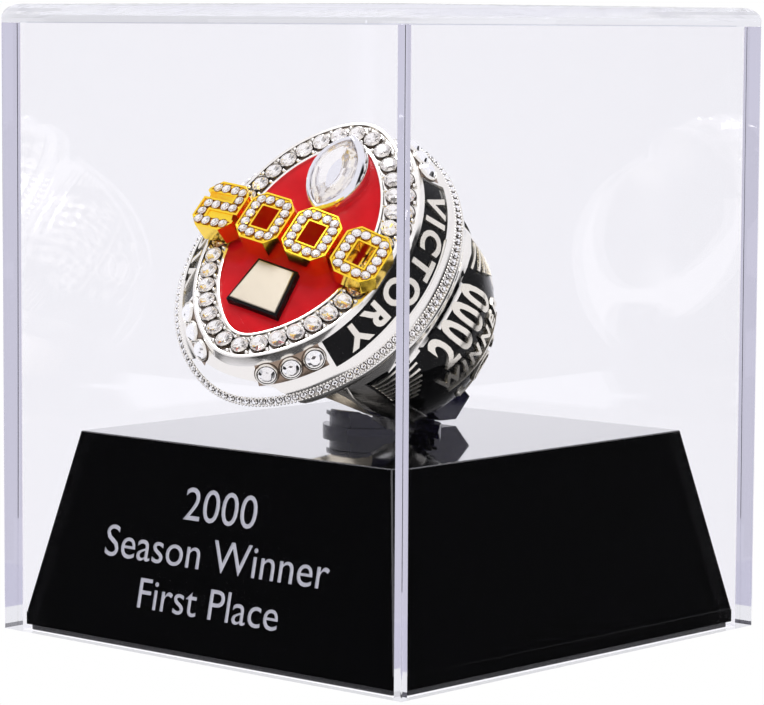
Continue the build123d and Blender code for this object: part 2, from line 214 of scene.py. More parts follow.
def clear_cast_acrylic(name, least_straight=0.0, tint="#FDFDFE"):
    """Clear pane; least_straight is the share of all light that crosses it unbent."""
    material, tree = new_material(name)
    path = add(tree, "ShaderNodeLightPath").outputs
    inside = add(tree, "ShaderNodeMath", {0: path["Transmission Depth"], 1: 2.0}, operation="MODULO")
    outside = add(tree, "ShaderNodeMath", {0: 1.0, 1: inside.outputs[0]}, operation="SUBTRACT")
    mirrored = add(tree, "ShaderNodeMath", {0: path["Is Glossy Ray"], 1: path["Is Transmission Ray"]},
                   operation="SUBTRACT", use_clamp=True)
    bounced = add(tree, "ShaderNodeMath", {0: mirrored.outputs[0], 1: outside.outputs[0]},
                  operation="MULTIPLY")
    soft = add(tree, "ShaderNodeMath", {0: path["Is Shadow Ray"], 1: path["Is Diffuse Ray"]},
               operation="MAXIMUM")
    either = add(tree, "ShaderNodeMath", {0: bounced.outputs[0], 1: soft.outputs[0]},
                 operation="MAXIMUM")
    straight = add(tree, "ShaderNodeMath", {0: either.outputs[0], 1: least_straight},
                   operation="MAXIMUM")
    pane = add(tree, "ShaderNodeBsdfPrincipled", Base_Color=linear("#FEFEFF"), Roughness=0.0,
               IOR=ACRYLIC_IOR, Transmission_Weight=1.0)
    clear = add(tree, "ShaderNodeBsdfTransparent", Color=linear(tint))
    mixed = add(tree, "ShaderNodeMixShader",
                {0: straight.outputs[0], 1: pane.outputs[0], 2: clear.outputs[0]})
    show(tree, mixed.outputs[0])
    return material


CLEAR_ACRYLIC = clear_cast_acrylic("clear_cast_acrylic")
BUFFED_EDGE = clear_cast_acrylic("clear_acrylic_buffed_edge", least_straight=0.8, tint="#F7F7FB")

# %% [markdown]
# The stand is black cast acrylic, flame polished.  Its gloss is nearly a mirror, with a faint
# unevenness from handling, and the clear skin gives a second, sharper reflection.  The writing is
# laser engraved, which leaves a frosted light grey full of tiny pits.

# %% Black acrylic and its engraving
BLACK_ACRYLIC = grained_finish("black_cast_acrylic", 9.0, "#020203", (0.02, 0.06), IOR=1.56,
                               Coat_Weight=1.0, Coat_Roughness=0.03)
ENGRAVED = grained_finish("laser_frosted_acrylic", 0.12, ("#A2A2A8", "#D2D2D8"), 0.75, detail=4.0,
                          relief=(0.4, 0.05))

# %% [markdown]
# The holder is injection-moulded ABS, black with a violet cast, and glossy from a polished mould.
# The washer is milky nylon with a dull skin.  The holder's liners and the stand's foot pad are wool
# felt, which has a soft pile and no shine.  The screws are zinc-plated steel, bright with fine
# lines along the shaft.

# %% Plastics, felt and fastener finishes
HOLDER_ABS = grained_finish("indigo_black_abs", 2.0, "#1A1830", (0.112, 0.182), IOR=1.53)
NYLON = grained_finish("natural_nylon", 0.8, "#DAD6C8", (0.32, 0.52), IOR=1.53)
FELT = grained_finish("black_wool_felt", 0.25, ("#08080A", "#26262A"), 0.95, detail=6.0,
                      relief=(0.8, 0.15), Sheen_Weight=0.3)
ZINC = grained_finish("zinc_plated_steel", 0.15, "#C4C6C9", (0.22, 0.4), stretch=(1, 1, 8),
                      Metallic=1.0)

# %% [markdown]
# ## Finishes of the ring
# The casting is a zinc alloy plated with bright silver, polished on the high places.  The low
# places round the stones get darker copies of the plating as painted shade, with a little dark
# wash in them, which makes the detail read.  All the plated finishes are metals with a faint
# cloudiness, and differ in colour and polish.

# %% Silver, painted shade and gold
def plated_metal(name, colour, rough, cloud_mm=1.4):
    return grained_finish(name, cloud_mm, colour, rough, detail=4.0, relief=(0.12, 0.04), Metallic=1.0)


SILVER = plated_metal("bright_silver_plate", "#F6F3EC", (0.12, 0.22))
MIRROR_SILVER = plated_metal("mirror_polished_silver", "#EDEDF0", (0.02, 0.05))
SATIN_SILVER = plated_metal("satin_silver_plate", "#EDE8DC", (0.22, 0.34))
CHAMPAGNE = plated_metal("brushed_champagne_plate", "#B3AA99", (0.3, 0.42))
# Painted shade: a darker, browner silver for the grounds round the larger stones, with a thin wash.
SHADE_AND_BROWN_WASH = plated_metal("thinly_washed_silver_and_painted_shade", "#A08C7A", (0.25, 0.5), cloud_mm=0.5)
# Painted shade: a dark silver for the seats under the stones, with some oxidised wash.
SHADE_AND_DARK_WASH = plated_metal("oxidised_silver_and_painted_shade", "#5C4F45", (0.35, 0.6), cloud_mm=0.5)
GOLD = plated_metal("bright_gold_plate", "#FFD840", (0.12, 0.22))
# Painted shade: a darker copy of the gold for the seats round the numerals' small stones.
GOLD_SHADE = plated_metal("shaded_gold_plate", "#A8741C", (0.25, 0.45))

# %% [markdown]
# Enamel on such rings is coloured epoxy: a glossy, slightly domed pool.  Its colour varies a
# little at random between a deeper and a brighter tone.

# %% Epoxy enamels
def epoxy_enamel(name, deep, colour):
    return grained_finish(name, 2.5, (deep, colour), 0.12, tones_at=(0.3, 0.7), IOR=1.52,
                          Specular_IOR_Level=0.12)


RED_ENAMEL = epoxy_enamel("red_epoxy_enamel", "#BC0D16", "#D0141D")
BLACK_ENAMEL = epoxy_enamel("black_epoxy_enamel", "#030304", "#060607")

# %% [markdown]
# The stones are foil-backed crystal: clear cut glass in front, and a mirror coating behind that
# sends the light out again.  One closed stone carries both finishes, each on its own facets.

# %% Crystal and foil
def cut_crystal():
    material, tree = new_material("cut_lead_crystal")
    glass = add(tree, "ShaderNodeBsdfPrincipled", Base_Color=linear("#FDFDFF"), Roughness=0.0,
                IOR=1.7, Transmission_Weight=1.0)
    show(tree, glass.outputs[0])
    return material


CRYSTAL = cut_crystal()
FOIL = grained_finish("silver_foil_back", 0.8, "#FFFDF8", (0.02, 0.08), Metallic=1.0)
print("finishes:", [material.name for material in bpy.data.materials])

# %% [markdown]
# ## Camera and light
# The camera stands in front of the case's near corner, a little above its foot.  A long lens keeps
# the corner's edges nearly upright.

# %% Camera
CAMERA_TURN, CAMERA_RISE, CAMERA_ROLL = 42.07, 5.59, 0.32
CAMERA_DISTANCE = 372.05
CAMERA_AIM = Vector((1.3, -1.4, 31.4))
LENS_MM = 156.7


def make_camera():
    turn, rise = math.radians(CAMERA_TURN), math.radians(CAMERA_RISE)
    back = Vector((math.sin(turn) * math.cos(rise), -math.cos(turn) * math.cos(rise), math.sin(rise)))
    data = bpy.data.cameras.new("camera")
    data.lens = LENS_MM
    data.sensor_width = 36.0
    data.clip_start, data.clip_end = 0.01, 10.0
    camera = bpy.data.objects.new("camera", data)
    look = (-back).to_track_quat("-Z", "Y").to_matrix().to_4x4()
    level = Matrix.Translation((CAMERA_AIM + back * CAMERA_DISTANCE) * MM) @ look
    camera.matrix_world = level @ Matrix.Rotation(math.radians(CAMERA_ROLL), 4, "Z")
    bpy.context.scene.collection.objects.link(camera)
    bpy.context.scene.camera = camera
    print("camera, mm:", [round(v / MM, 1) for v in camera.matrix_world.translation])


make_camera()

# %% [markdown]
# The studio is a white tent.  Polished metal only looks like metal when it mirrors something
# darker too, so bounced rays see a tent with dimmer walls on two sides, as if two flags stood
# there.  Only the first reflection sees the flags.  What is seen directly, or through the case, is
# plain white, and so there is no floor: it would cast a veil on the polished black.

# %% White tent
TENT_TURN = CAMERA_TURN       # the bright walls face the camera and stand behind the case
FLAG_LEVEL = 0.01
FLAG_EDGE = (0.9, 0.965)      # how far to the side a flag begins and is full
FLAG_TOP = (0.3, 0.5)         # how high it ends
EDGE_GLOW = "#D2D0E2"         # light that has run along inside a pane and lost some yellow
GUIDED_AFTER = 5.5            # reflections after which light counts as running along a pane
SEEN_THROUGH = (1.09, 1.08, 1.125, 1.0)   # makes up for what the panes take from the backdrop
BOUNCES = 32                  # enough for light to run from one end of a pane's edge to the other


def make_tent():
    world = bpy.data.worlds.new("white tent")
    world.use_nodes = True
    tree = world.node_tree
    tree.nodes.clear()
    where = add(tree, "ShaderNodeTexCoord").outputs["Generated"]
    turned = add(tree, "ShaderNodeMapping", {"Vector": where}, vector_type="VECTOR",
                 Rotation=(0, 0, -math.radians(TENT_TURN)))
    side = add(tree, "ShaderNodeSeparateXYZ", {"Vector": turned.outputs["Vector"]})
    across = add(tree, "ShaderNodeMath", {0: side.outputs["X"]}, operation="ABSOLUTE")
    height = add(tree, "ShaderNodeMath", {0: side.outputs["Z"]}, operation="ABSOLUTE")
    flag = add(tree, "ShaderNodeMapRange", {"Value": across.outputs[0]}, To_Min=1.0, To_Max=FLAG_LEVEL,
               From_Min=FLAG_EDGE[0], From_Max=FLAG_EDGE[1], interpolation_type="SMOOTHSTEP")
    lift = add(tree, "ShaderNodeMapRange", {"Value": height.outputs[0]}, To_Min=0.0, To_Max=1.0,
               From_Min=FLAG_TOP[0], From_Max=FLAG_TOP[1], interpolation_type="SMOOTHSTEP")
    level = add(tree, "ShaderNodeMath", {0: flag.outputs[0], 1: lift.outputs[0]}, operation="MAXIMUM")
    path = add(tree, "ShaderNodeLightPath").outputs
    once = add(tree, "ShaderNodeMath", {0: path["Glossy Depth"], 1: 1.0, 2: 0.5}, operation="COMPARE")
    guided = add(tree, "ShaderNodeMath", {0: path["Glossy Depth"], 1: GUIDED_AFTER},
                 operation="GREATER_THAN")
    through = add(tree, "ShaderNodeMath", {0: path["Transmission Depth"], 1: 1.5},
                  operation="GREATER_THAN")
    plain = add(tree, "ShaderNodeMix", {"Factor": once.outputs[0], "A": 1.0, "B": level.outputs[0]},
                data_type="FLOAT")
    backdrop = add(tree, "ShaderNodeMix", {"Factor": through.outputs[0], "A": linear("#FFFFFF"),
                                           "B": SEEN_THROUGH}, data_type="RGBA")
    edge = add(tree, "ShaderNodeMix", {"Factor": guided.outputs[0], "A": backdrop.outputs["Result"],
                                       "B": linear(EDGE_GLOW)}, data_type="RGBA")
    glow = add(tree, "ShaderNodeBackground", {"Strength": plain.outputs["Result"],
                                              "Color": edge.outputs["Result"]})
    add(tree, "ShaderNodeOutputWorld", {"Surface": glow.outputs[0]})
    world.cycles.sampling_method = "NONE"
    bpy.context.scene.world = world
    bpy.context.scene.view_settings.view_transform = "Standard"
    cycles = bpy.context.scene.cycles
    cycles.max_bounces = cycles.glossy_bounces = cycles.transmission_bounces = BOUNCES
    print("tent turned", TENT_TURN, "degrees, bounces", BOUNCES)


make_tent()

# %% [markdown]
# One soft box high above gives the stones and the polished metal their brightest points.

# %% Soft box
def soft_box(name, size, place, aim, power):
    data = bpy.data.lights.new(name, "AREA")
    data.shape = "RECTANGLE"
    data.size, data.size_y = size[0] * MM, size[1] * MM
    data.energy = power
    lamp = bpy.data.objects.new(name, data)
    lamp.visible_transmission = False
    back = Vector(place) - Vector(aim)
    facing = back.to_track_quat("Z", "Y").to_matrix().to_4x4()
    lamp.matrix_world = Matrix.Translation(Vector(place) * MM) @ facing
    bpy.context.scene.collection.objects.link(lamp)
    print(name, power, "watts")


soft_box("top box", (160, 160), (-40, -60, 420), (0, 0, 30), 0.7)

# %% [markdown]
# ## Modelling tools
# A few moves come back in almost every piece: a block between two corners, a profile turned on a
# lathe, faces raised into a solid, and a row of edges rounded.  Each gets a short name here.

# %% Blocks, turned solids, raised faces and rounded edges
def turned(angle, axis):
    return Matrix.Rotation(math.radians(angle), 4, axis)


def block(low, high):
    """A rectangular block between two corners."""
    low, high = Vector(low), Vector(high)
    bm = bmesh.new()
    bmesh.ops.create_cube(bm, size=1.0)
    bmesh.ops.scale(bm, vec=high - low, verts=bm.verts)
    bmesh.ops.translate(bm, vec=(low + high) / 2, verts=bm.verts)
    return bm


def spun(profile, sides):
    """A profile of (radius, height) points turned about the upright axis into a closed solid."""
    bm = bmesh.new()
    line = [bm.verts.new((r, 0, z)) for r, z in profile]
    edges = [bm.edges.new(pair) for pair in zip(line, line[1:])]
    bmesh.ops.spin(bm, geom=line + edges, axis=(0, 0, 1), cent=(0, 0, 0), angle=math.tau, steps=sides,
                   use_merge=True)
    bmesh.ops.remove_doubles(bm, verts=bm.verts, dist=0.001)
    bmesh.ops.recalc_face_normals(bm, faces=bm.faces)
    return bm


def new_verts(made):
    """The new vertices in an extrude's result."""
    return [v for v in made["geom"] if isinstance(v, bmesh.types.BMVert)]


def raise_faces(bm, faces, height):
    """Pushes a flat region up into a solid, and returns the faces of its top."""
    made = bmesh.ops.extrude_face_region(bm, geom=faces)
    bmesh.ops.translate(bm, vec=(0, 0, height), verts=new_verts(made))
    bmesh.ops.recalc_face_normals(bm, faces=bm.faces)
    return [f for f in made["geom"] if isinstance(f, bmesh.types.BMFace)]


def bevel_edges(bm, edges, width, segments=3):
    bmesh.ops.bevel(bm, geom=edges, offset=width, segments=segments, profile=0.5, affect="EDGES",
                    material=-1)


def slice_level(bm, height, **clear):
    """Cuts all faces along a level plane."""
    bmesh.ops.bisect_plane(bm, geom=bm.verts[:] + bm.edges[:] + bm.faces[:], plane_co=(0, 0, height),
                           plane_no=(0, 0, 1), **clear)


# %% [markdown]
# ## The cover
# Five panes are glued with a solvent that leaves no visible joint, so the cover is one closed
# shell.  The foot of a block is inset by the pane's thickness, the middle is pushed up to make the
# hollow, and the top is rounded.  The faces stay flat shaded, because a smoothed normal bends what
# is seen through a pane.

# %% Clear cover
PANE_NODES = ["cover_lid_panel", "cover_front_panel", "cover_rear_panel", "cover_left_panel",
              "cover_right_panel"]
PANE_T = 2.0
TOP_ROUND = 1.6
EDGE_POLISH = 0.15
SNAP = 0.01                   # how near two heights are when they count as the same


def make_cover():
    low, high = cad_box[0] / MM, cad_box[1] / MM
    size = high - low
    bm = block(low, high)
    foot = min(bm.faces, key=lambda f: f.calc_center_median().z)
    bmesh.ops.inset_individual(bm, faces=[foot], thickness=PANE_T, use_even_offset=True)
    made = bmesh.ops.extrude_face_region(bm, geom=[foot])
    bmesh.ops.delete(bm, geom=[foot], context="FACES_ONLY")
    bmesh.ops.translate(bm, vec=(0, 0, size.z - PANE_T), verts=new_verts(made))
    top = [e for e in bm.edges if all(abs(v.co.z - high.z) < SNAP for v in e.verts)]
    bevel_edges(bm, top, TOP_ROUND, segments=6)
    upright = [e for e in bm.edges
               if abs(e.verts[0].co.z - e.verts[1].co.z) > size.z / 2
               and all(abs(abs(v.co.x) - high.x) < SNAP for v in e.verts)]
    bevel_edges(bm, upright, EDGE_POLISH)
    lid_low = high.z - PANE_T - 0.1
    slice_level(bm, lid_low)
    for face in bm.faces:
        height = face.calc_center_median().z
        if (abs(face.normal.z) < 0.98 and height > lid_low) or height < SNAP:
            face.material_index = 1
    bmesh.ops.recalc_face_normals(bm, faces=bm.faces)
    cover = finish_piece("cover_shell", bm, [CLEAR_ACRYLIC, BUFFED_EDGE], "cover",
                         smooth=0)
    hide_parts(*PANE_NODES)


make_cover()

# %% [markdown]
# ## The stand
# A four-sided block that narrows upwards.  Its edges are broken a little, so that they catch a
# thin line of light.  The writing is cut into its front with a boolean: each
# letter is a shallow solid, and the floor of the cut keeps the letter's frosted finish.

# %% Letters as thin solids
def lettering(text, height, bold=0.0, spacing=1.0):
    """Flat letters in millimetres, centred, baseline at y = 0, capitals height mm tall."""
    curve = bpy.data.curves.new("letters", "FONT")
    curve.body = text
    curve.size = height / 0.7
    curve.offset = bold
    curve.space_character = spacing
    curve.resolution_u = 4
    curve.align_x = "CENTER"
    carrier = bpy.data.objects.new("letters", curve)
    bpy.context.scene.collection.objects.link(carrier)
    graph = bpy.context.evaluated_depsgraph_get()
    mesh = bpy.data.meshes.new_from_object(carrier.evaluated_get(graph))
    bm = bmesh.new()
    bm.from_mesh(mesh)
    bpy.data.objects.remove(carrier)
    bpy.data.meshes.remove(mesh)
    bmesh.ops.remove_doubles(bm, verts=bm.verts, dist=height * 0.002)
    return bm


def thicken(bm, thickness):
    """Raises flat letters, or any flat plan, into solids thickness mm tall."""
    raise_faces(bm, bm.faces[:], thickness)


def cut(piece, bm, operation="DIFFERENCE", finish=None):
    """Cuts a piece, already in metres, with a solid drawn in millimetres."""
    bmesh.ops.transform(bm, matrix=TO_METRES, verts=bm.verts)
    mesh = as_mesh(bm, "cutter")
    mesh.materials.append(finish or piece.data.materials[0])
    cutter = bpy.data.objects.new("cutter", mesh)
    bpy.context.scene.collection.objects.link(cutter)
    boolean = piece.modifiers.new("cut", "BOOLEAN")
    boolean.operation = operation
    boolean.solver = "EXACT"
    boolean.use_self = operation == "UNION"
    boolean.material_mode = "TRANSFER"
    boolean.object = cutter
    apply_modifiers(piece)
    bpy.data.objects.remove(cutter)
    bpy.data.meshes.remove(mesh)


# %% Engraved stand
STAND_EDGE = 0.14
BORE_R, BORE_DEPTH = 3.05, 6.0
ENGRAVING = (("2000", 3.6, 14.5), ("Season Winner", 3.5, 9.5), ("First Place", 3.35, 4.5))
ENGRAVING_STRETCH = 1.09
ENGRAVING_DEPTH = 0.12
STAND_TOP_W = 46.7


def make_stand():
    low, high = [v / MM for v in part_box("stand_shell")]
    height = high.z - low.z
    bm = block(low, high)
    upper = [v for v in bm.verts if v.co.z > low.z + height / 2]
    share = STAND_TOP_W / (high.x - low.x)
    bmesh.ops.scale(bm, vec=(share, share, 1), verts=upper)
    bevel_edges(bm, bm.edges[:], STAND_EDGE)
    stand = finish_piece("stand_body", bm, [BLACK_ACRYLIC], "base", smooth=0)
    bore = bmesh.new()
    bmesh.ops.create_cone(bore, cap_ends=True, segments=48, radius1=BORE_R, radius2=BORE_R,
                          depth=2 * BORE_DEPTH, matrix=Matrix.Translation((0, 0, high.z)))
    cut(stand, bore)
    half_foot, half_top = (high.x - low.x) / 2, STAND_TOP_W / 2
    lean = math.atan2(half_foot - half_top, height)
    for text, size, z in ENGRAVING:
        letters = lettering(text, size)
        bmesh.ops.scale(letters, vec=(ENGRAVING_STRETCH, 1, 1), verts=letters.verts)
        thicken(letters, 2 * ENGRAVING_DEPTH)
        y = -half_foot + (z - low.z) * math.tan(lean)
        place = Matrix.Translation((0, y, z)) @ Matrix.Rotation(math.radians(90) - lean, 4, "X")
        sink = Matrix.Translation((0, 0, -ENGRAVING_DEPTH))
        bmesh.ops.transform(letters, matrix=place @ sink, verts=letters.verts)
        cut(stand, letters, finish=ENGRAVED)
    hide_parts("stand_shell")


make_stand()

# %% [markdown]
# The felt under the stand is a die-cut sheet.  It reaches almost to the stand's foot, so that the
# case stands on a dark line.  A flat block is its whole shape, and its corners are rounded as the
# die cuts them.

# %% Felt pad
FELT_SET_BACK, FELT_CORNER = 0.3, 0.5


def make_felt_pad():
    low, high = [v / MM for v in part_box("felt_pad")]
    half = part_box("stand_shell")[1].x / MM - FELT_SET_BACK
    bm = block((-half, -half, low.z), (half, half, high.z))
    upright = [e for e in bm.edges if abs(e.verts[0].co.z - e.verts[1].co.z) > 0.1]
    bevel_edges(bm, upright, FELT_CORNER, segments=4)
    pad = finish_piece("felt_foot_pad", bm, [FELT], "base")
    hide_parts("felt_pad")


make_felt_pad()

# %% [markdown]
# The plate and screws under the stand, and the holder's liners, washer and screw, keep their packed
# shapes and get their finishes.

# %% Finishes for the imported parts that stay
KEPT_FINISHES = {"stand_floor": BLACK_ACRYLIC, "floor_screws": ZINC, "nest_liner_floor": FELT,
                 "nest_liner_rear": FELT, "holder_washer": NYLON, "holder_screw": ZINC}
for node, finish in KEPT_FINISHES.items():
    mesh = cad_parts[node].data
    mesh.materials.clear()
    mesh.materials.append(finish)
print("packed parts kept:", len(KEPT_FINISHES))

# %% [markdown]
# ## The holder
# The plug was turned on a lathe before its mould was made, so it is a profile spun about the
# upright axis: stem, wide flange, neck, rib and top.  The arm that backs the ring and the post under
# it are added, and then the tilted nest is cut.

# %% Nest and ring frames
NEST_YAW, NEST_TILT = -4.1, 48.0
NEST_AT = (-1.7, 6.2, 26.4)
NEST_FRONT, NEST_REAR, NEST_DEPTH = 8.2, 7.97, 2.6
ARM_W, ARM_WALL, ARM_FLOOR = 4.0, 0.9, 1.2
POST_LOW, POST_HIGH = (-1.0, -6.0), (4.0, -0.5)
RING_GAP = 0.5                # liner and play under the shank
RING_ROLL = 22.8
BODY_U, BODY_V, BODY_W, BODY_SHIFT = 17.6, 14.8, 14.4, 1.0

NEST = Matrix.Translation(NEST_AT) @ turned(NEST_YAW, "Z") @ turned(NEST_TILT, "X")
roll = math.radians(RING_ROLL)
RING_REACH = math.hypot(BODY_U * math.sin(roll), BODY_W * math.cos(roll)) + RING_GAP
RING = NEST @ Matrix.Translation((0, 0, RING_REACH)) @ turned(RING_ROLL, "Y")
print("ring's middle, mm:", [round(v, 2) for v in RING.translation])

# %% Holder plug
STEM_R, STEM_LOW = 3.0, 17.85
FLANGE_R, FLANGE_T = 6.0, 0.8
PLUG_R, PLUG_H = 5.25, 2.6
RIB_R, RIB_T, RIB_DROP = 5.6, 0.45, 0.2
HOLDER_EDGE = 0.12


def make_holder():
    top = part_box("stand_shell")[1].z / MM
    rib_low = top + PLUG_H - RIB_T - RIB_DROP
    profile = [(0, STEM_LOW), (STEM_R, STEM_LOW), (STEM_R, top), (FLANGE_R, top),
               (FLANGE_R, top + FLANGE_T), (PLUG_R, top + FLANGE_T), (PLUG_R, rib_low),
               (RIB_R, rib_low), (RIB_R, rib_low + RIB_T), (PLUG_R, rib_low + RIB_T),
               (PLUG_R, top + PLUG_H), (0, top + PLUG_H)]
    plug = finish_piece("holder_body", spun(profile, 96), [HOLDER_ABS], "holder")
    arm = block((-ARM_W / 2, -NEST_FRONT, -ARM_FLOOR), (ARM_W / 2, NEST_REAR + ARM_WALL, NEST_DEPTH / 2))
    post = block((-ARM_W / 2 + 0.01, *POST_LOW), (ARM_W / 2 - 0.01, *POST_HIGH))
    low_rear = [e for e in arm.edges if all(v.co.y > 0 and v.co.z < 0 for v in e.verts)]
    bevel_edges(arm, low_rear, ARM_FLOOR * 0.8, segments=4)
    for bm in (arm, post):
        bmesh.ops.transform(bm, matrix=NEST, verts=bm.verts)
        slice_level(bm, top + FLANGE_T / 2, clear_inner=True)
        bmesh.ops.contextual_create(bm, geom=[e for e in bm.edges if e.is_boundary])
        bmesh.ops.recalc_face_normals(bm, faces=bm.faces)
        cut(plug, bm, "UNION")
    room = block((-20, -NEST_FRONT, 0), (20, NEST_REAR, 30))
    bmesh.ops.transform(room, matrix=NEST, verts=room.verts)
    cut(plug, room)
    plug.data.shade_smooth()
    plug.data.set_sharp_from_angle(angle=math.radians(30))
    round_edges(plug, HOLDER_EDGE)
    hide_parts("holder_plug")


make_holder()

# %% [markdown]
# ## The ring's body
# Two tools shape most of the ring.  A loft starts from a circle of points and extrudes it from
# station to station, so a face with many lips is one list of stations.  A patch is a flat grid
# laid onto a curved surface.  Everything is drawn in the ring's own frame: u (x) across the
# finger's hole, v (y) along it, and w (z) out of the face.

# %% Loft and patch tools
SIDES = (("left", -1), ("right", 1))


def ring_piece(name, bm, finishes, at=Matrix(), smooth=35.0):
    """A finished piece of the ring, drawn in the ring's frame or in the frame at."""
    return finish_piece(name, bm, finishes, "ring", place=RING @ at, smooth=smooth)


def mirrored(spot, side):
    return Vector((side * spot.x, spot.y, spot.z))


def loft(stations, point, sides):
    """A closed loop extruded through the stations; point(station, turn) places each vertex."""
    bm = bmesh.new()
    made = bmesh.ops.create_circle(bm, segments=sides, radius=1.0)
    turns = [math.tau * k / sides for k in range(sides)]
    loop = sorted(made["verts"],
                  key=lambda v: round(math.atan2(v.co.y, v.co.x) / math.tau * sides) % sides)
    first = loop
    for number, station in enumerate(stations):
        if number:
            edges = [bm.edges.get((loop[k], loop[(k + 1) % sides])) for k in range(sides)]
            made = bmesh.ops.extrude_edge_only(bm, edges=edges)
            new = set(new_verts(made))
            loop = [next(e.other_vert(v) for e in v.link_edges if e.other_vert(v) in new) for v in loop]
        for vertex, turn in zip(loop, turns):
            vertex.co = point(station, turn)
    bm.faces.new(first)
    bm.faces.new(loop)
    bmesh.ops.recalc_face_normals(bm, faces=bm.faces)
    return bm


def patch(columns, rows, point, thickness=0.0):
    """A grid laid onto a surface; point(x, y) takes x and y from 0 to 1."""
    bm = bmesh.new()
    bmesh.ops.create_grid(bm, x_segments=columns, y_segments=rows, size=0.5)
    for vertex in bm.verts:
        vertex.co = point(vertex.co.x + 0.5, vertex.co.y + 0.5)
    if thickness:
        bmesh.ops.solidify(bm, geom=bm.faces[:], thickness=thickness)
        bmesh.ops.recalc_face_normals(bm, faces=bm.faces)
    return bm


# %% [markdown]
# The head is a sloping oval with a domed face.  Its outlines are ovals drawn out to a soft point
# at both ends.  Shares run from 0 at the face's edge to 1 at the rim, the widest place.

# %% Head outlines
RIM_U, RIM_V, RIM_W = 14.7, 18.4, 7.0
RIM_BODY_V = RIM_V - 0.4      # the rim's half length before it is drawn out to a tip
FACE_U, FACE_V, FACE_TIP, FACE_W = 10.6, 15.4, 16.2, 13.2
FACE_DOME_R = 45.0
FIELD_U, FIELD_V, FIELD_TIP = 7.5, 12.1, 13.0
UNDERCUT_W, UNDERCUT = 4.6, 0.86
HOLE_R, HOLE_LONG = 10.4, 80.0
HEAD_SIDES = 180


def face_w(u):
    """Height of the domed face at u."""
    return FACE_W - FACE_DOME_R + math.sqrt(FACE_DOME_R ** 2 - u ** 2)


def mix(a, b, share):
    return a + (b - a) * share


def smooth_step(low, high, value):
    share = min(max((value - low) / (high - low), 0.0), 1.0)
    return share * share * (3 - 2 * share)


def oval(half_u, half_v, tip, turn):
    """Point of an oval drawn out to a soft tip at both ends."""
    stretch = 1 + (tip / half_v - 1) * abs(math.sin(turn)) ** 12
    return half_u * math.cos(turn), half_v * math.sin(turn) * stretch


def slope_point(share, turn):
    """Point on the slope between the face's edge and the rim."""
    u, v = oval(mix(FACE_U, RIM_U, share), mix(FACE_V, RIM_BODY_V, share),
                mix(FACE_TIP, RIM_V, share), turn)
    return Vector((u, v, mix(face_w(FACE_U), RIM_W, share)))


def slope_frame(share, turn, lift=0.0):
    """Frame on the slope: x along the rim, y down the slope, z outwards."""
    here = slope_point(share, turn)
    along = (slope_point(share, turn + 0.01) - here).normalized()
    down = (slope_point(share + 0.01, turn) - here).normalized()
    out = down.cross(along).normalized()
    down = along.cross(out) * -1
    made = Matrix((along, -down, out)).transposed().to_4x4()
    return Matrix.Translation(here + out * lift) @ made


def face_point(share, turn, lift):
    """Point on the face, share 0 at its edge and 1 at the enamel field's edge."""
    u, v = oval(mix(FACE_U, FIELD_U, share), mix(FACE_V, FIELD_V, share),
                mix(FACE_TIP, FIELD_TIP, share), turn)
    return Vector((u, v, face_w(u) + lift))


# %% Head
CHANNEL_IN, CHANNEL_OUT = 0.06, 0.6
CHANNEL_LOW, CHANNEL_HIGH = -40.5, 52.0     # degrees from level, measured towards the upper end
CHANNEL_DEPTH = 0.35
LIP = 0.1
BORDER_DROP = 0.16


def head_point(station, turn):
    kind, share, lift = station
    if kind == "face":
        return face_point(share, turn, lift)
    if kind == "slope":
        here = slope_point(share, turn)
        return here + slope_frame(share, turn).col[2].xyz * lift
    u, v = oval(RIM_U * share, RIM_BODY_V * share, RIM_V * share, turn)
    return Vector((u, v, lift))


HEAD_STATIONS = [
    ("under", UNDERCUT, UNDERCUT_W), ("under", 0.93, 5.6), ("under", 0.985, 6.3), ("under", 1.0, 6.75),
    ("slope", 0.99, 0.06), ("slope", 0.965, 0.12), ("slope", 0.94, 0.12), ("slope", 0.93, -0.05),
    ("slope", 0.79, -0.05), ("slope", 0.78, 0.12), ("slope", 0.75, 0.16), ("slope", 0.68, 0.2),
    ("slope", 0.62, 0.1), ("slope", CHANNEL_OUT, 0.06), ("slope", 0.46, 0.0), ("slope", 0.32, 0.0),
    ("slope", 0.2, 0.0), ("slope", CHANNEL_IN, 0.0), ("slope", 0.05, 0.02), ("slope", 0.01, 0.06),
    ("face", 0.0, LIP), ("face", 0.05, LIP + 0.04), ("face", 0.11, LIP), ("face", 0.13, -BORDER_DROP),
    ("face", 0.5, -BORDER_DROP), ("face", 0.87, -BORDER_DROP), ("face", 0.89, LIP),
    ("face", 0.93, LIP + 0.03), ("face", 0.98, LIP - 0.02), ("face", 1.0, -0.1), ("face", 1.02, -0.6)]


def make_head():
    """The head, with both slope channels sunk."""
    bm = loft(HEAD_STATIONS, head_point, HEAD_SIDES)
    bm.normal_update()
    lowest, highest = math.radians(CHANNEL_LOW), math.radians(CHANNEL_HIGH)
    for side in (1, -1):
        low, high = [slope_point(s, 0).z for s in (CHANNEL_OUT, CHANNEL_IN)]
        chosen = []           # quads between the two heights whose own oval's turn is in the channel
        for face in bm.faces:
            middle = face.calc_center_median()
            share = (face_w(FACE_U) - middle.z) / (face_w(FACE_U) - RIM_W)
            turn = math.atan2(middle.y / mix(FACE_V, RIM_BODY_V, share),
                              side * middle.x / mix(FACE_U, RIM_U, share))
            if low < middle.z < high and lowest < turn < highest and len(face.verts) == 4:
                chosen.append(face)
        bmesh.ops.inset_region(bm, faces=chosen, thickness=0.05, depth=-CHANNEL_DEPTH,
                               use_even_offset=True)
    return bm


# %% [markdown]
# The shank is an egg-shaped band round the finger hole: narrow at the bottom, wide at the
# shoulders.  A flat grid is wrapped into a band.  Its columns run across the band and round its
# edges; its rows run round the finger.  The shoulder panels are sunk with one inset.

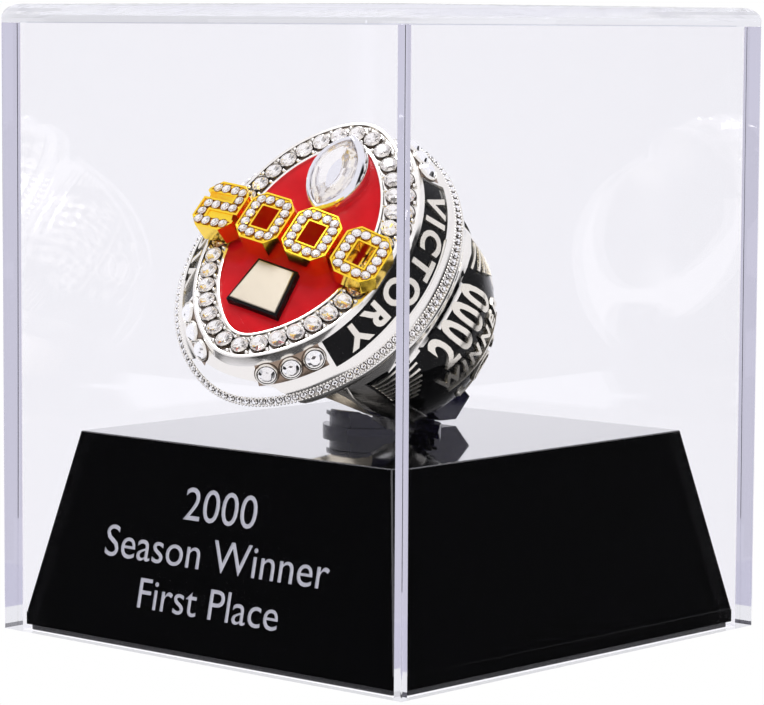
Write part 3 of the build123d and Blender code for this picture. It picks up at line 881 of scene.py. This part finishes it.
# %% Shank
SHANK_HALF, SHANK_FLAT, SHOULDER_HALF, HEAD_HALF = 4.0, 15.0, 11.4, 12.4
SHANK_END = 117.0             # degrees from the bottom, where the shank is inside the head
SHANK_ROWS = 156
PANEL_MARGIN = 1.7
PANEL_FROM, PANEL_TO = 36.0, 109.0
PANEL_DEPTH = 0.32
UNDER_RIM = 0.35


def half_width(w):
    """Half the shank's width at height w."""
    if w > 0:
        return mix(SHOULDER_HALF, HEAD_HALF, min(w / (RIM_W - 0.6), 1.0))
    turn = math.degrees(math.acos(min(max(-w / BODY_W, -1), 1)))
    if turn <= SHANK_FLAT:
        return SHANK_HALF
    return mix(SHANK_HALF, SHOULDER_HALF, (turn - SHANK_FLAT) / (90 - SHANK_FLAT))


def shank_point(turn, v, lift=0.0):
    """Point on the shank's outside, turn degrees round from its bottom towards +u."""
    angle = math.radians(turn)
    across = math.sqrt(max(1 - ((v - BODY_SHIFT) / BODY_V) ** 2, 0.05))
    reach = across / math.hypot(math.sin(angle) / BODY_U, math.cos(angle) / BODY_W) + lift
    u, w = reach * math.sin(angle), -reach * math.cos(angle)
    edge = (RIM_U - UNDER_RIM) * math.sqrt(max(1 - (v / (RIM_V - UNDER_RIM)) ** 2, 0.0))
    tucked = min(abs(u), edge) * (1 if u > 0 else -1)
    return Vector((mix(u, tucked, smooth_step(3.0, 5.8, w)), v, w))


def shank_section(turn):
    """Loop of points across the band at one turn: outside, edge, inside, edge."""
    w_out = -BODY_W * math.cos(math.radians(turn))
    half = half_width(w_out)
    inner = half_width(-HOLE_R * math.cos(math.radians(turn)))
    panel = max(half - PANEL_MARGIN, 0.5)
    outside = [-half, -half + 0.1, -half + 0.35, -half + 0.8, -panel]
    outside += [panel * k / 5 for k in range(-4, 5)]
    outside += [panel, half - 0.8, half - 0.35, half - 0.1, half]
    drop = {0: 0.35, 1: 0.1, 2: 0.02}
    points = []
    for k, v in enumerate(outside):
        lift = -drop.get(min(k, len(outside) - 1 - k), 0.0)
        points.append(shank_point(turn, v + BODY_SHIFT, lift))
    angle = math.radians(turn)
    for k in range(7, -8, -1):
        v = BODY_SHIFT + inner * k / 7
        crown = 0.25 * (abs(k) / 7) ** 6
        reach = HOLE_R + crown
        points.append(Vector((reach * math.sin(angle), v, -reach * math.cos(angle))))
    return points


def make_shank():
    """The band, closed at both ends, with both shoulder panels sunk."""
    sections = [shank_section(mix(-SHANK_END, SHANK_END, row / SHANK_ROWS))
                for row in range(SHANK_ROWS + 1)]
    columns = len(sections[0])
    bm = bmesh.new()
    bmesh.ops.create_grid(bm, x_segments=columns, y_segments=SHANK_ROWS, size=0.5)
    for vertex in bm.verts:
        column = round((vertex.co.x + 0.5) * columns) % columns
        row = round((vertex.co.y + 0.5) * SHANK_ROWS)
        vertex.co = sections[row][column]
    bmesh.ops.remove_doubles(bm, verts=bm.verts, dist=0.0005)
    for end in (0, SHANK_ROWS):
        spots = sections[end]
        loop = [e for e in bm.edges if e.is_boundary and (e.verts[0].co.x > 0) == (spots[0].x > 0)]
        bmesh.ops.contextual_create(bm, geom=loop)
    bmesh.ops.recalc_face_normals(bm, faces=bm.faces)
    bm.normal_update()
    for side in (1, -1):
        chosen = []
        for face in bm.faces:
            middle = face.calc_center_median()
            turn = math.degrees(math.atan2(side * middle.x, -middle.z))
            outside = math.hypot(middle.x, middle.z) > HOLE_R + 1.0
            panel = half_width(middle.z) - PANEL_MARGIN + 0.12
            if outside and PANEL_FROM < turn < PANEL_TO and abs(middle.y - BODY_SHIFT) < panel:
                chosen.append(face)
        bmesh.ops.inset_region(bm, faces=chosen, thickness=0.06, depth=-PANEL_DEPTH,
                               use_even_offset=True)
    return bm


def join(target, extra):
    """Adds one bmesh to another."""
    mesh = as_mesh(extra, "joined")
    target.from_mesh(mesh)
    bpy.data.meshes.remove(mesh)


def make_casting():
    """Head, with the finger hole cut through it, and shank in one piece."""
    head = finish_piece("ring_body", make_head(), [SILVER], "ring")
    hole = bmesh.new()
    bmesh.ops.create_cone(hole, cap_ends=True, segments=144, radius1=HOLE_R, radius2=HOLE_R,
                          depth=HOLE_LONG, matrix=turned(90, "X"))
    cut(head, hole)
    bm = bmesh.new()
    bm.from_mesh(head.data)
    bmesh.ops.scale(bm, vec=(1 / MM,) * 3, verts=bm.verts)
    join(bm, make_shank())
    bpy.data.objects.remove(head)
    body = ring_piece("ring_body", bm, [SILVER], smooth=40)
    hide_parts("ring_casting")


make_casting()

# %% [markdown]
# ## Enamel
# The red field is a shallow dome of epoxy inside the inner lip.  The black grounds lie in the
# recesses a little below the metal, so that the lips and the letters stand proud of them.

# %% Red field
FIELD_LIFT = -0.12


def make_field():
    shares = [1.0, 0.99, 0.96, 0.85, 0.7, 0.55, 0.4, 0.25, 0.12, 0.03]
    stations = [(1.0, -0.5)] + [(s, FIELD_LIFT - 0.1 * max(0, (s - 0.9) * 10) ** 2) for s in shares]

    def point(station, turn):
        share, lift = station
        u, v = oval(FIELD_U * share, FIELD_V * share, FIELD_TIP * share, turn)
        return Vector((u, v, face_w(u) + lift))

    bm = loft(stations, point, 120)
    piece = ring_piece("red_field", bm, [RED_ENAMEL])
    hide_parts("enamel_field")


make_field()

# %% Black grounds
GROUND_LIFT, GROUND_T = -0.22, 0.1


def make_grounds():
    for name, side in SIDES:
        def slope_spot(x, y, side=side):
            turn = math.radians(mix(CHANNEL_LOW - 0.8, CHANNEL_HIGH + 0.8, x))
            share = mix(CHANNEL_IN, CHANNEL_OUT, y)
            return mirrored(slope_frame(share, turn, GROUND_LIFT).translation, side)

        bm = patch(48, 6, slope_spot, thickness=GROUND_T)
        piece = ring_piece(f"slope_enamel_{name}", bm, [BLACK_ENAMEL])
        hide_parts(f"channel_enamel_{name}")

        def shoulder_spot(x, y, side=side):
            turn = mix(PANEL_FROM - 0.6, PANEL_TO + 0.6, y)
            half = half_width(-BODY_W * math.cos(math.radians(turn))) - PANEL_MARGIN + 0.05
            return mirrored(shank_point(turn, BODY_SHIFT + mix(-half, half, x), GROUND_LIFT), side)

        bm = patch(24, 40, shoulder_spot, thickness=GROUND_T)
        piece = ring_piece(f"shoulder_ground_{name}", bm, [BLACK_ENAMEL])
        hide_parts(f"shoulder_enamel_{name}")


make_grounds()

# %% [markdown]
# ## Stones
# One cut stone is drawn and copied.  It has a flat table, every second corner of it drawn out,
# a ring of crown facets, and a pointed back of mirror facets.

# %% One cut stone
TABLE_SHARE = 0.55
STAR_SPREAD, STAR_DROP = 1.18, 0.22   # every second table corner is drawn out and down


def cut_stone(radius, crown, depth, facets=8):
    """A round stone, girdle at z = 0; crystal facets above it and foil facets below."""
    bm = bmesh.new()
    bmesh.ops.create_cone(bm, cap_ends=True, segments=facets * 2, radius1=radius,
                          radius2=radius * TABLE_SHARE, depth=crown,
                          matrix=Matrix.Translation((0, 0, crown / 2)))
    base = min(bm.faces, key=lambda f: f.calc_center_median().z)
    made = bmesh.ops.poke(bm, faces=[base])
    for vertex in made["verts"]:
        vertex.co.z = -depth
    for face in made["faces"]:
        face.material_index = 1
    top = max(bm.faces, key=lambda f: f.calc_center_median().z)
    for vertex in list(top.verts)[::2]:
        vertex.co.x *= STAR_SPREAD
        vertex.co.y *= STAR_SPREAD
        vertex.co.z -= crown * STAR_DROP
    bmesh.ops.connect_verts_concave(bm, faces=[top])
    bmesh.ops.triangulate(bm, faces=[f for f in bm.faces
                                     if len(f.verts) > 4 and f.material_index == 0])
    bmesh.ops.recalc_face_normals(bm, faces=bm.faces)
    return as_mesh(bm, "stone")


def scatter(mesh, places):
    """One bmesh with a copy of a small mesh at each place."""
    bm = bmesh.new()
    for place in places:
        start = len(bm.verts)
        bm.from_mesh(mesh)
        bm.verts.ensure_lookup_table()
        bmesh.ops.transform(bm, matrix=place, verts=bm.verts[start:])
    return bm


def bead_mesh(radius):
    """A tiny ball for claws and beaded edges."""
    bm = bmesh.new()
    bmesh.ops.create_icosphere(bm, subdivisions=1, radius=radius)
    return as_mesh(bm, "bead")


def washer_mesh(inner, outer, height, sides):
    """A low ring with a rounded top, for a stone's bezel."""
    crown = (inner + outer) / 2
    profile = [(inner, 0), (inner, height * 0.7), (crown, height), (outer, height * 0.6), (outer, 0)]
    return as_mesh(spun(profile, sides), "bezel")


def disc_mesh(radius, sides):
    """A thin disc for the dark seat under a stone, where painted shade goes."""
    bm = bmesh.new()
    bmesh.ops.create_cone(bm, cap_ends=True, segments=sides, radius1=radius, radius2=radius * 0.96,
                          depth=0.06)
    return as_mesh(bm, "disc")


# %% [markdown]
# The border stones stand evenly round the face.  Each sits in a dark seat, painted shade with
# some oxidised wash, and two small claws fill every gap between neighbours.

# %% Border stones
STONE_R = 1.0
BORDER_STONES = 36
STONE_TIP = 4                 # degrees; hand-set stones are never quite level, so they glint in turn
FACETS = 5                    # shading angle that keeps every facet flat


def run_lengths(spots):
    """How far along a line of points each of them lies."""
    runs = [0.0]
    for a, b in zip(spots, spots[1:]):
        runs.append(runs[-1] + (b - a).length)
    return runs


def even_turns(point, count):
    """Turns that space count points evenly along a closed outline."""
    steps = 1440
    runs = run_lengths([point(math.tau * k / steps) for k in range(steps + 1)])
    turns, k = [], 0
    for n in range(count):
        goal = runs[-1] * (n + 0.5) / count
        while runs[k + 1] < goal:
            k += 1
        turns.append(math.tau * (k + (goal - runs[k]) / (runs[k + 1] - runs[k])) / steps)
    return turns


def face_frame(share, turn, lift):
    """Frame on the domed face, z square to it."""
    here = face_point(share, turn, lift)
    return Matrix.Translation(here) @ turned(math.degrees(math.asin(here.x / FACE_DOME_R)), "Y")


def make_border():
    turns = even_turns(lambda t: face_point(0.5, t, 0.0), BORDER_STONES)
    gaps = [(a + b) / 2 for a, b in zip(turns, turns[1:] + [turns[0] + math.tau])]
    places = [face_frame(0.5, t, 0.2) @ turned(37 * k, "Z") @ turned(STONE_TIP, "X")
              for k, t in enumerate(turns)]
    stones = scatter(cut_stone(STONE_R * 0.97, 0.4, 0.34), places)
    piece = ring_piece("border_crystals", stones, [CRYSTAL, FOIL], smooth=FACETS)
    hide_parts("border_stones")
    # The seats' dark silver is painted shade under the stones, with some oxidised wash.
    seats = scatter(washer_mesh(STONE_R * 0.98, STONE_R * 1.06, 0.34, 24),
                    [face_frame(0.5, t, -BORDER_DROP) for t in turns])
    ring_piece("border_seats", seats, [SHADE_AND_DARK_WASH])
    claws = [face_frame(share, t, -0.02) for t in gaps for share in (0.22, 0.78)]
    ring_piece("border_claws", scatter(bead_mesh(0.3), claws), [SILVER], smooth=80)


make_border()

# %% [markdown]
# Three larger stones stand at each end of a lettered channel.  They sit in low bezels, on dark
# seats of painted shade, on a brown ground that is painted shade with a thin wash.

# %% Larger stones on the slope
ACCENT_R = 1.1
ACCENT_SHARE = 0.27
ACCENT_LOW, ACCENT_HIGH = (-69.0, -57.5, -46.5), (58.0, 66.5, 75.0)


def accent_turns():
    right = ACCENT_LOW + ACCENT_HIGH
    return [math.radians(t) for t in right + tuple(180 - t for t in right)]


def make_accents():
    turns = accent_turns()
    stones = scatter(cut_stone(ACCENT_R * 0.9, 0.45, 0.32),
                     [slope_frame(ACCENT_SHARE, t, 0.3) for t in turns])
    piece = ring_piece("accent_crystals", stones, [CRYSTAL, FOIL], smooth=FACETS)
    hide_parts("accent_stones")
    bezels = scatter(washer_mesh(ACCENT_R * 0.92, ACCENT_R * 1.14, 0.55, 28),
                     [slope_frame(ACCENT_SHARE, t, -0.15) for t in turns])
    ring_piece("accent_bezels", bezels, [SILVER], smooth=50)
    # Dark seats of painted shade under the stones, with some oxidised wash.
    seats = scatter(disc_mesh(ACCENT_R * 1.24, 28),
                    [slope_frame(ACCENT_SHARE, t, 0.04) for t in turns])
    ring_piece("accent_seats", seats, [SHADE_AND_DARK_WASH])
    # The brown ground is painted shade round the stones, with a thin wash.
    grounds = bmesh.new()
    for low, high in ((ACCENT_LOW[0] - 5, CHANNEL_LOW - 1.5),
                      (CHANNEL_HIGH + 1.5, ACCENT_HIGH[-1] + 5)):
        for side in (1, -1):
            def spot(x, y, low=low, high=high, side=side):
                here = slope_frame(mix(0.05, 0.5, y), math.radians(mix(low, high, x)), 0.03)
                return mirrored(here.translation, side)

            join(grounds, patch(24, 4, spot, thickness=0.05))
    ring_piece("accent_grounds", grounds, [SHADE_AND_BROWN_WASH])


make_accents()

# %% [markdown]
# A band of tiny stones between two beaded lines runs round the rim.

# %% Rim band
RIM_STONES, RIM_STONE_R = 112, 0.36
RIM_BEADS, RIM_BEAD_R = 260, 0.17
RIM_MIDDLE, RIM_EDGES = 0.86, (0.785, 0.935)     # shares of the slope


def make_rim_band():
    turns = even_turns(lambda t: slope_point(RIM_MIDDLE, t), RIM_STONES)
    stones = scatter(cut_stone(RIM_STONE_R, 0.2, 0.2, facets=4),
                     [slope_frame(RIM_MIDDLE, t, 0.08) for t in turns])
    ring_piece("rim_crystals", stones, [CRYSTAL, FOIL], smooth=FACETS)
    # Dark seats of painted shade under the tiny stones, with some oxidised wash.
    seats = scatter(disc_mesh(RIM_STONE_R + 0.07, 12),
                    [slope_frame(RIM_MIDDLE, t, -0.03) for t in turns])
    ring_piece("rim_seats", seats, [SHADE_AND_DARK_WASH])
    beads = []
    for share in RIM_EDGES:
        places = even_turns(lambda t, share=share: slope_point(share, t), RIM_BEADS)
        beads += [slope_frame(share, t, 0.08) for t in places]
    ring_piece("rim_beads", scatter(bead_mesh(RIM_BEAD_R), beads), [SILVER], smooth=80)


make_rim_band()

# %% [markdown]
# ## Numerals
# Each numeral is a block with clipped corners.  Its flat plan is raised, its top is inset to leave
# a thin rim, and the middle is sunk a little and set with small stones.  The outer two hang over
# the border, so they start higher.

# %% Numeral plans
NUMERALS = "2000"
NUMERAL_W, NUMERAL_H, NUMERAL_T = 5.6, 6.2, 3.0
NUMERAL_PITCH, NUMERAL_U, NUMERAL_V = 5.68, -0.3, -0.5
NUMERAL_CUT, NUMERAL_BAR, NUMERAL_LIFT = 1.2, 1.75, 0.55
NOTCH_V, NOTCH_H = 1.15, 0.75


def numeral_plan(digit):
    """The flat outline of a numeral as one bmesh face region."""
    w, h, c = NUMERAL_W / 2, NUMERAL_H / 2, NUMERAL_CUT
    bm = bmesh.new()
    if digit == "0":
        outer = [(w, c - h), (w, h - c), (w - c, h), (c - w, h), (-w, h - c), (-w, c - h), (c - w, -h),
                 (w - c, -h)]
        iw, ih = w - NUMERAL_BAR, h - NUMERAL_BAR
        inner = [(iw, -ih), (iw, ih), (iw, ih), (-iw, ih), (-iw, ih), (-iw, -ih), (-iw, -ih), (iw, -ih)]
        rings = [[bm.verts.new((x, y, 0)) for x, y in points] for points in (outer, inner)]
        for k in range(8):
            j = (k + 1) % 8
            bm.faces.new((rings[0][k], rings[0][j], rings[1][j], rings[1][k]))
        bmesh.ops.remove_doubles(bm, verts=bm.verts, dist=0.001)
    else:
        reach = NUMERAL_W - NUMERAL_BAR
        low, high = NOTCH_V - NOTCH_H / 2, NOTCH_V + NOTCH_H / 2
        half = [(-w, low), (reach - w, low), (reach - w, high), (-w, high), (-w, h - c), (c - w, h),
                (w - c, h), (w, h - c)]
        points = half + [(-x, -y) for x, y in half]
        bm.faces.new([bm.verts.new((x, y, 0)) for x, y in points])
    bmesh.ops.recalc_face_normals(bm, faces=bm.faces)
    if bm.faces[:][0].normal.z < 0:
        bmesh.ops.reverse_faces(bm, faces=bm.faces)
    return bm


def pave_spots(digit):
    """Places of the small stones on a numeral's face."""
    half_w = (NUMERAL_W - NUMERAL_BAR) / 2
    half_h = (NUMERAL_H - NUMERAL_BAR) / 2
    columns = [-half_w / 3, half_w / 3]
    if digit == "0":
        sides = [(s * half_w, v) for s in (-1, 1) for v in (-half_h / 2, 0, half_h / 2)]
        ends = [(u, s * half_h) for s in (-1, 1) for u in columns]
        corners = [(s * half_w * 0.88, t * half_h * 0.92) for s in (-1, 1) for t in (-1, 1)]
        return sides + ends + corners
    rows = [(u, v) for v in (-half_h, 0, half_h) for u in columns]
    ends = [(s * half_w * 0.9, v) for s in (-1, 1) for v in (-half_h * 0.97, 0, half_h * 0.97)]
    return rows + ends + [(half_w, half_h / 2), (-half_w, -half_h / 2)]


# %% Gold numerals
PAVE_R = 0.56
NUMERAL_RIM = 0.25
NUMERAL_SINK = 0.14


def numeral_frame(k):
    u = (k - 1.5) * NUMERAL_PITCH + NUMERAL_U
    tilt = turned(math.degrees(math.asin(u / FACE_DOME_R)), "Y")
    return Matrix.Translation((u, NUMERAL_V, face_w(u))) @ tilt


def numeral_block(digit, bottom):
    """A raised numeral with a thin rim and a sunken face."""
    bm = numeral_plan(digit)
    bmesh.ops.translate(bm, vec=(0, 0, bottom), verts=bm.verts)
    top = raise_faces(bm, bm.faces[:], NUMERAL_T - bottom)
    bmesh.ops.inset_region(bm, faces=top, thickness=NUMERAL_RIM, use_even_offset=True)
    bmesh.ops.inset_region(bm, faces=top, thickness=0.02, depth=-NUMERAL_SINK, use_even_offset=True)
    if digit == "2":
        for side in (-1, 1):
            low, high = sorted((side * (NOTCH_V - NOTCH_H / 2), side * (NOTCH_V + NOTCH_H / 2)))
            join(bm, block((-NUMERAL_W / 2 + 0.3, low - 0.1, bottom + 0.3),
                           (NUMERAL_W / 2 - 0.3, high + 0.1, NUMERAL_T - 0.8)))
    bmesh.ops.recalc_face_normals(bm, faces=bm.faces)
    return bm


def make_numerals():
    pave, seats = [], []
    for k, digit in enumerate(NUMERALS):
        outer = k in (0, len(NUMERALS) - 1)
        here = numeral_frame(k)
        bm = numeral_block(digit, NUMERAL_LIFT if outer else -0.25)
        piece = ring_piece(f"gold_numeral_{k + 1}", bm, [GOLD], at=here, smooth=0)
        round_edges(piece, 0.09, segments=2)
        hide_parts(f"numeral_{k + 1}")
        top = here @ Matrix.Translation((0, 0, NUMERAL_T - NUMERAL_SINK))
        for number, (u, v) in enumerate(pave_spots(digit)):
            spin = turned(17.0 * number, "Z")
            pave.append(top @ Matrix.Translation((u, v, 0.17)) @ spin @ turned(STONE_TIP, "X"))
            seats.append(top @ Matrix.Translation((u, v, 0.01)))
    stones = scatter(cut_stone(PAVE_R * 0.95, 0.2, 0.16, facets=5), pave)
    piece = ring_piece("numeral_crystals", stones, [CRYSTAL, FOIL], smooth=FACETS)
    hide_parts("numeral_stones")
    # Darker gold rings round the small stones: painted shade in the recesses.
    rings = scatter(washer_mesh(PAVE_R * 0.95, PAVE_R * 1.06, 0.2, 14), seats)
    ring_piece("numeral_seats", rings, [GOLD_SHADE], smooth=50)


make_numerals()

# %% [markdown]
# ## The large stone
# A pointed oval in a thick polished wall.  The wall leans out and rolls over into a narrow lip.
# The loft's stations give how far each loop lies outside the stone and how high.

# %% Setting and large stone
GEM_LEN, GEM_W, GEM_V, GEM_PITCH = 8.1, 4.9, 8.2, 10.0
SETTING_H = 2.6
GEM = Matrix.Translation((0, GEM_V, FACE_W + SETTING_H - 0.9)) @ turned(GEM_PITCH, "X")
WALL_STATIONS = [(0.35, -3.6), (0.6, -2.9), (0.76, -2.2), (0.82, -1.5), (0.78, -0.9), (0.64, -0.45),
                 (0.46, -0.14), (0.3, 0.0), (0.16, 0.02), (0.06, -0.05), (0.0, -0.2), (-0.03, -0.9)]
GEM_STATIONS = [(-1.9, -0.95), (-0.02, -0.25), (-0.03, -0.1), (-0.7, 0.42), (-1.2, 0.55)]


def marquise(out, turn):
    """Point of a pointed oval, out mm outside the stone's edge."""
    half_len, half_w = GEM_LEN / 2 + out * 1.25, GEM_W / 2 + out
    radius = (half_len ** 2 + half_w ** 2) / (2 * half_w)
    v = half_len * math.sin(turn)
    u = math.sqrt(max(radius ** 2 - v ** 2, 0)) - radius + half_w
    return (u if math.cos(turn) >= 0 else -u), v


def gem_point(station, turn):
    out, z = station
    return Vector((*marquise(out, turn), z))


def make_gem():
    wall = loft(WALL_STATIONS, gem_point, 96)
    piece = ring_piece("gem_wall", wall, [MIRROR_SILVER], at=GEM, smooth=50)
    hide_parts("gem_setting")
    stone = loft(GEM_STATIONS, gem_point, 16)
    for face in stone.faces:
        if face.calc_center_median().z < -0.3:
            face.material_index = 1
    piece = ring_piece("large_crystal", stone, [CRYSTAL, FOIL], at=GEM, smooth=FACETS)
    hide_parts("clear_gem")


make_gem()

# %% [markdown]
# ## The keystone plate
# A small tapered plate below the numerals: a black enamelled base with a brushed champagne cap.

# %% Keystone plate
KEY_TOP, KEY_BOTTOM, KEY_H, KEY_V, KEY_T = 4.6, 6.0, 5.4, -7.2, 0.9
KEY_BORDER = 0.25


def key_plan(grow):
    """Flat plan of the plate, grow mm larger all round."""
    h, top, foot = KEY_H / 2 + grow, KEY_TOP / 2 + grow, KEY_BOTTOM / 2 + grow
    bm = bmesh.new()
    corners = ((-foot, -h, 0), (foot, -h, 0), (top, h, 0), (-top, h, 0))
    bm.faces.new([bm.verts.new(corner) for corner in corners])
    return bm


def make_keystone():
    base = Matrix.Translation((0, KEY_V, FACE_W - 0.45))
    bm = key_plan(KEY_BORDER)
    thicken(bm, KEY_T + 0.25)
    piece = ring_piece("keystone_base", bm, [BLACK_ENAMEL], at=base)
    round_edges(piece, 0.08)
    bm = key_plan(-0.05)
    bmesh.ops.translate(bm, vec=(0, 0, KEY_T + 0.15), verts=bm.verts)
    thicken(bm, 0.3)
    cap = ring_piece("keystone_cap", bm, [CHAMPAGNE], at=base)
    round_edges(cap, 0.1)
    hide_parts("keystone_plate")


make_keystone()

# %% [markdown]
# ## Raised letters
# The letters are cast with the ring, so they are silver and stand on the black grounds.  Flat
# letters are raised, cut finely enough to bend, and wrapped: x runs along the band, y across it
# and z outwards.

# %% Wrapped lettering
LETTER_RISE = 0.34
BEND_EVERY = 0.6              # longest straight edge, mm, in a plan that will be bent
SLOPE_LETTER_H, SLOPE_STRETCH = 2.3, 1.22
SLOPE_LETTERS_AT = (0.13, 0.53)    # shares of the slope at the letters' feet and tops


def bendable(bm):
    """Splits long edges so that a flat plan can follow a curve."""
    bmesh.ops.triangulate(bm, faces=bm.faces[:])
    for _ in range(3):
        long_edges = [e for e in bm.edges if e.calc_length() > BEND_EVERY]
        if long_edges:
            bmesh.ops.subdivide_edges(bm, edges=long_edges, cuts=1, use_grid_fill=False)
            bmesh.ops.triangulate(bm, faces=bm.faces[:])


def wrap(bm, place):
    """Moves each vertex to place(x, y, z)."""
    for vertex in bm.verts:
        vertex.co = place(*vertex.co)


def slope_map(side, share_low, share_high, height):
    """Map for letters in a slope channel, their tops towards the rim."""
    steps = 240
    middle = (share_low + share_high) / 2
    turns = [math.radians(mix(75, -75, k / steps)) for k in range(steps + 1)]
    runs = run_lengths([slope_point(middle, t) for t in turns])
    zero = runs[steps // 2]

    def place(x, y, z):
        k = 0
        while k < steps - 1 and runs[k + 1] - zero < x:
            k += 1
        part = (x + zero - runs[k]) / (runs[k + 1] - runs[k])
        turn = mix(turns[k], turns[k + 1], part)
        if side < 0:
            turn += math.pi
        return slope_frame(mix(share_low, share_high, y / height), turn, z).translation

    return place


def make_slope_letters():
    for name, side in SIDES:
        bm = lettering("VICTORY", SLOPE_LETTER_H, bold=0.12, spacing=1.3)
        bmesh.ops.scale(bm, vec=(SLOPE_STRETCH, 1, 1), verts=bm.verts)
        middle = math.radians(CHANNEL_LOW + CHANNEL_HIGH) / 2 * (RIM_V + FACE_V) / 2
        bmesh.ops.translate(bm, vec=(-side * middle, 0, 0), verts=bm.verts)
        bendable(bm)
        bmesh.ops.translate(bm, vec=(0, 0, GROUND_LIFT), verts=bm.verts)
        thicken(bm, LETTER_RISE)
        wrap(bm, slope_map(side, *SLOPE_LETTERS_AT, SLOPE_LETTER_H))
        ring_piece(f"slope_letters_{name}", bm, [SATIN_SILVER], smooth=40)


make_slope_letters()

# %% [markdown]
# Each shoulder carries two rows of plain characters, a star in a ring, two small stars, two bars
# and stripes towards its upper corners.
# On the shoulders x runs along the finger and y up towards the head.

# %% Shoulder designs
STAR_WAIST = 0.42


def shoulder_map(side, turn_at, v_at, lean=0.0):
    """Map for a design on a shoulder, centred at a turn and at v_at, leaning lean degrees."""
    per_degree = math.radians(1) * (BODY_U + BODY_W) / 2
    swing = math.radians(lean)

    def place(x, y, z):
        x, y = x * math.cos(swing) - y * math.sin(swing), x * math.sin(swing) + y * math.cos(swing)
        spot = shank_point(turn_at + y / per_degree, BODY_SHIFT + v_at + x, z)
        return spot if side > 0 else turned(180, "Z") @ (spot - Vector((0, 2 * BODY_SHIFT, 0)))

    return place


def star_plan(radius):
    """A plain five-pointed star: every second corner of a ten-sided plan is drawn in."""
    bm = bmesh.new()
    made = bmesh.ops.create_circle(bm, cap_ends=True, segments=10, radius=radius)
    for vertex in made["verts"]:
        number = round(math.atan2(vertex.co.y, vertex.co.x) / math.radians(36))
        if number % 2:
            vertex.co *= STAR_WAIST
    return bm


def ring_plan(inner, outer):
    """A flat ring."""
    bm = bmesh.new()
    bmesh.ops.create_circle(bm, segments=32, radius=inner)
    made = bmesh.ops.extrude_edge_only(bm, edges=bm.edges[:])
    bmesh.ops.scale(bm, vec=(outer / inner,) * 3, verts=new_verts(made))
    return bm


def bar_plan(length, width):
    bm = bmesh.new()
    bmesh.ops.create_grid(bm, x_segments=1, y_segments=1, size=0.5)
    bmesh.ops.scale(bm, vec=(length, width, 1), verts=bm.verts)
    return bm


STRIPES, STRIPE_FROM, STRIPE_STEP = 7, 106.5, 2.2      # turns in degrees from the shank's bottom
BAR_W, STRIPE_W = 0.25, 0.2


def make_shoulder_designs():
    for name, side in SIDES:
        designs = [(lettering("2000", 2.9, bold=0.12, spacing=1.22), 96.6, 0.0, 0.0),
                   (lettering("WINNER", 1.8, bold=0.08, spacing=1.35), 87.3, 0.0, 0.0),
                   (star_plan(1.3), 75.5, 0.0, 90.0), (ring_plan(1.55, 1.85), 75.5, 0.0, 0.0),
                   (star_plan(0.7), 73.0, 3.6, 90.0), (star_plan(0.7), 73.0, -3.6, 90.0),
                   (bar_plan(11.0, BAR_W), 84.3, 0.0, 0.0), (bar_plan(6.0, BAR_W), 64.5, 0.0, 0.0)]
        for k in range(STRIPES):
            at = STRIPE_FROM - STRIPE_STEP * k
            outer = half_width(-BODY_W * math.cos(math.radians(at))) - PANEL_MARGIN - 0.3
            inner = 6.5 + 0.3 * k
            for end in (-1, 1):
                designs.append((bar_plan(outer - inner, STRIPE_W), at, end * (outer + inner) / 2, 0.0))
        whole = bmesh.new()
        for bm, turn_at, v_at, lean in designs:
            bendable(bm)
            bmesh.ops.translate(bm, vec=(0, 0, GROUND_LIFT), verts=bm.verts)
            thicken(bm, LETTER_RISE)
            wrap(bm, shoulder_map(side, turn_at, v_at, lean))
            join(whole, bm)
        ring_piece(f"shoulder_designs_{name}", whole, [SATIN_SILVER], smooth=40)


make_shoulder_designs()
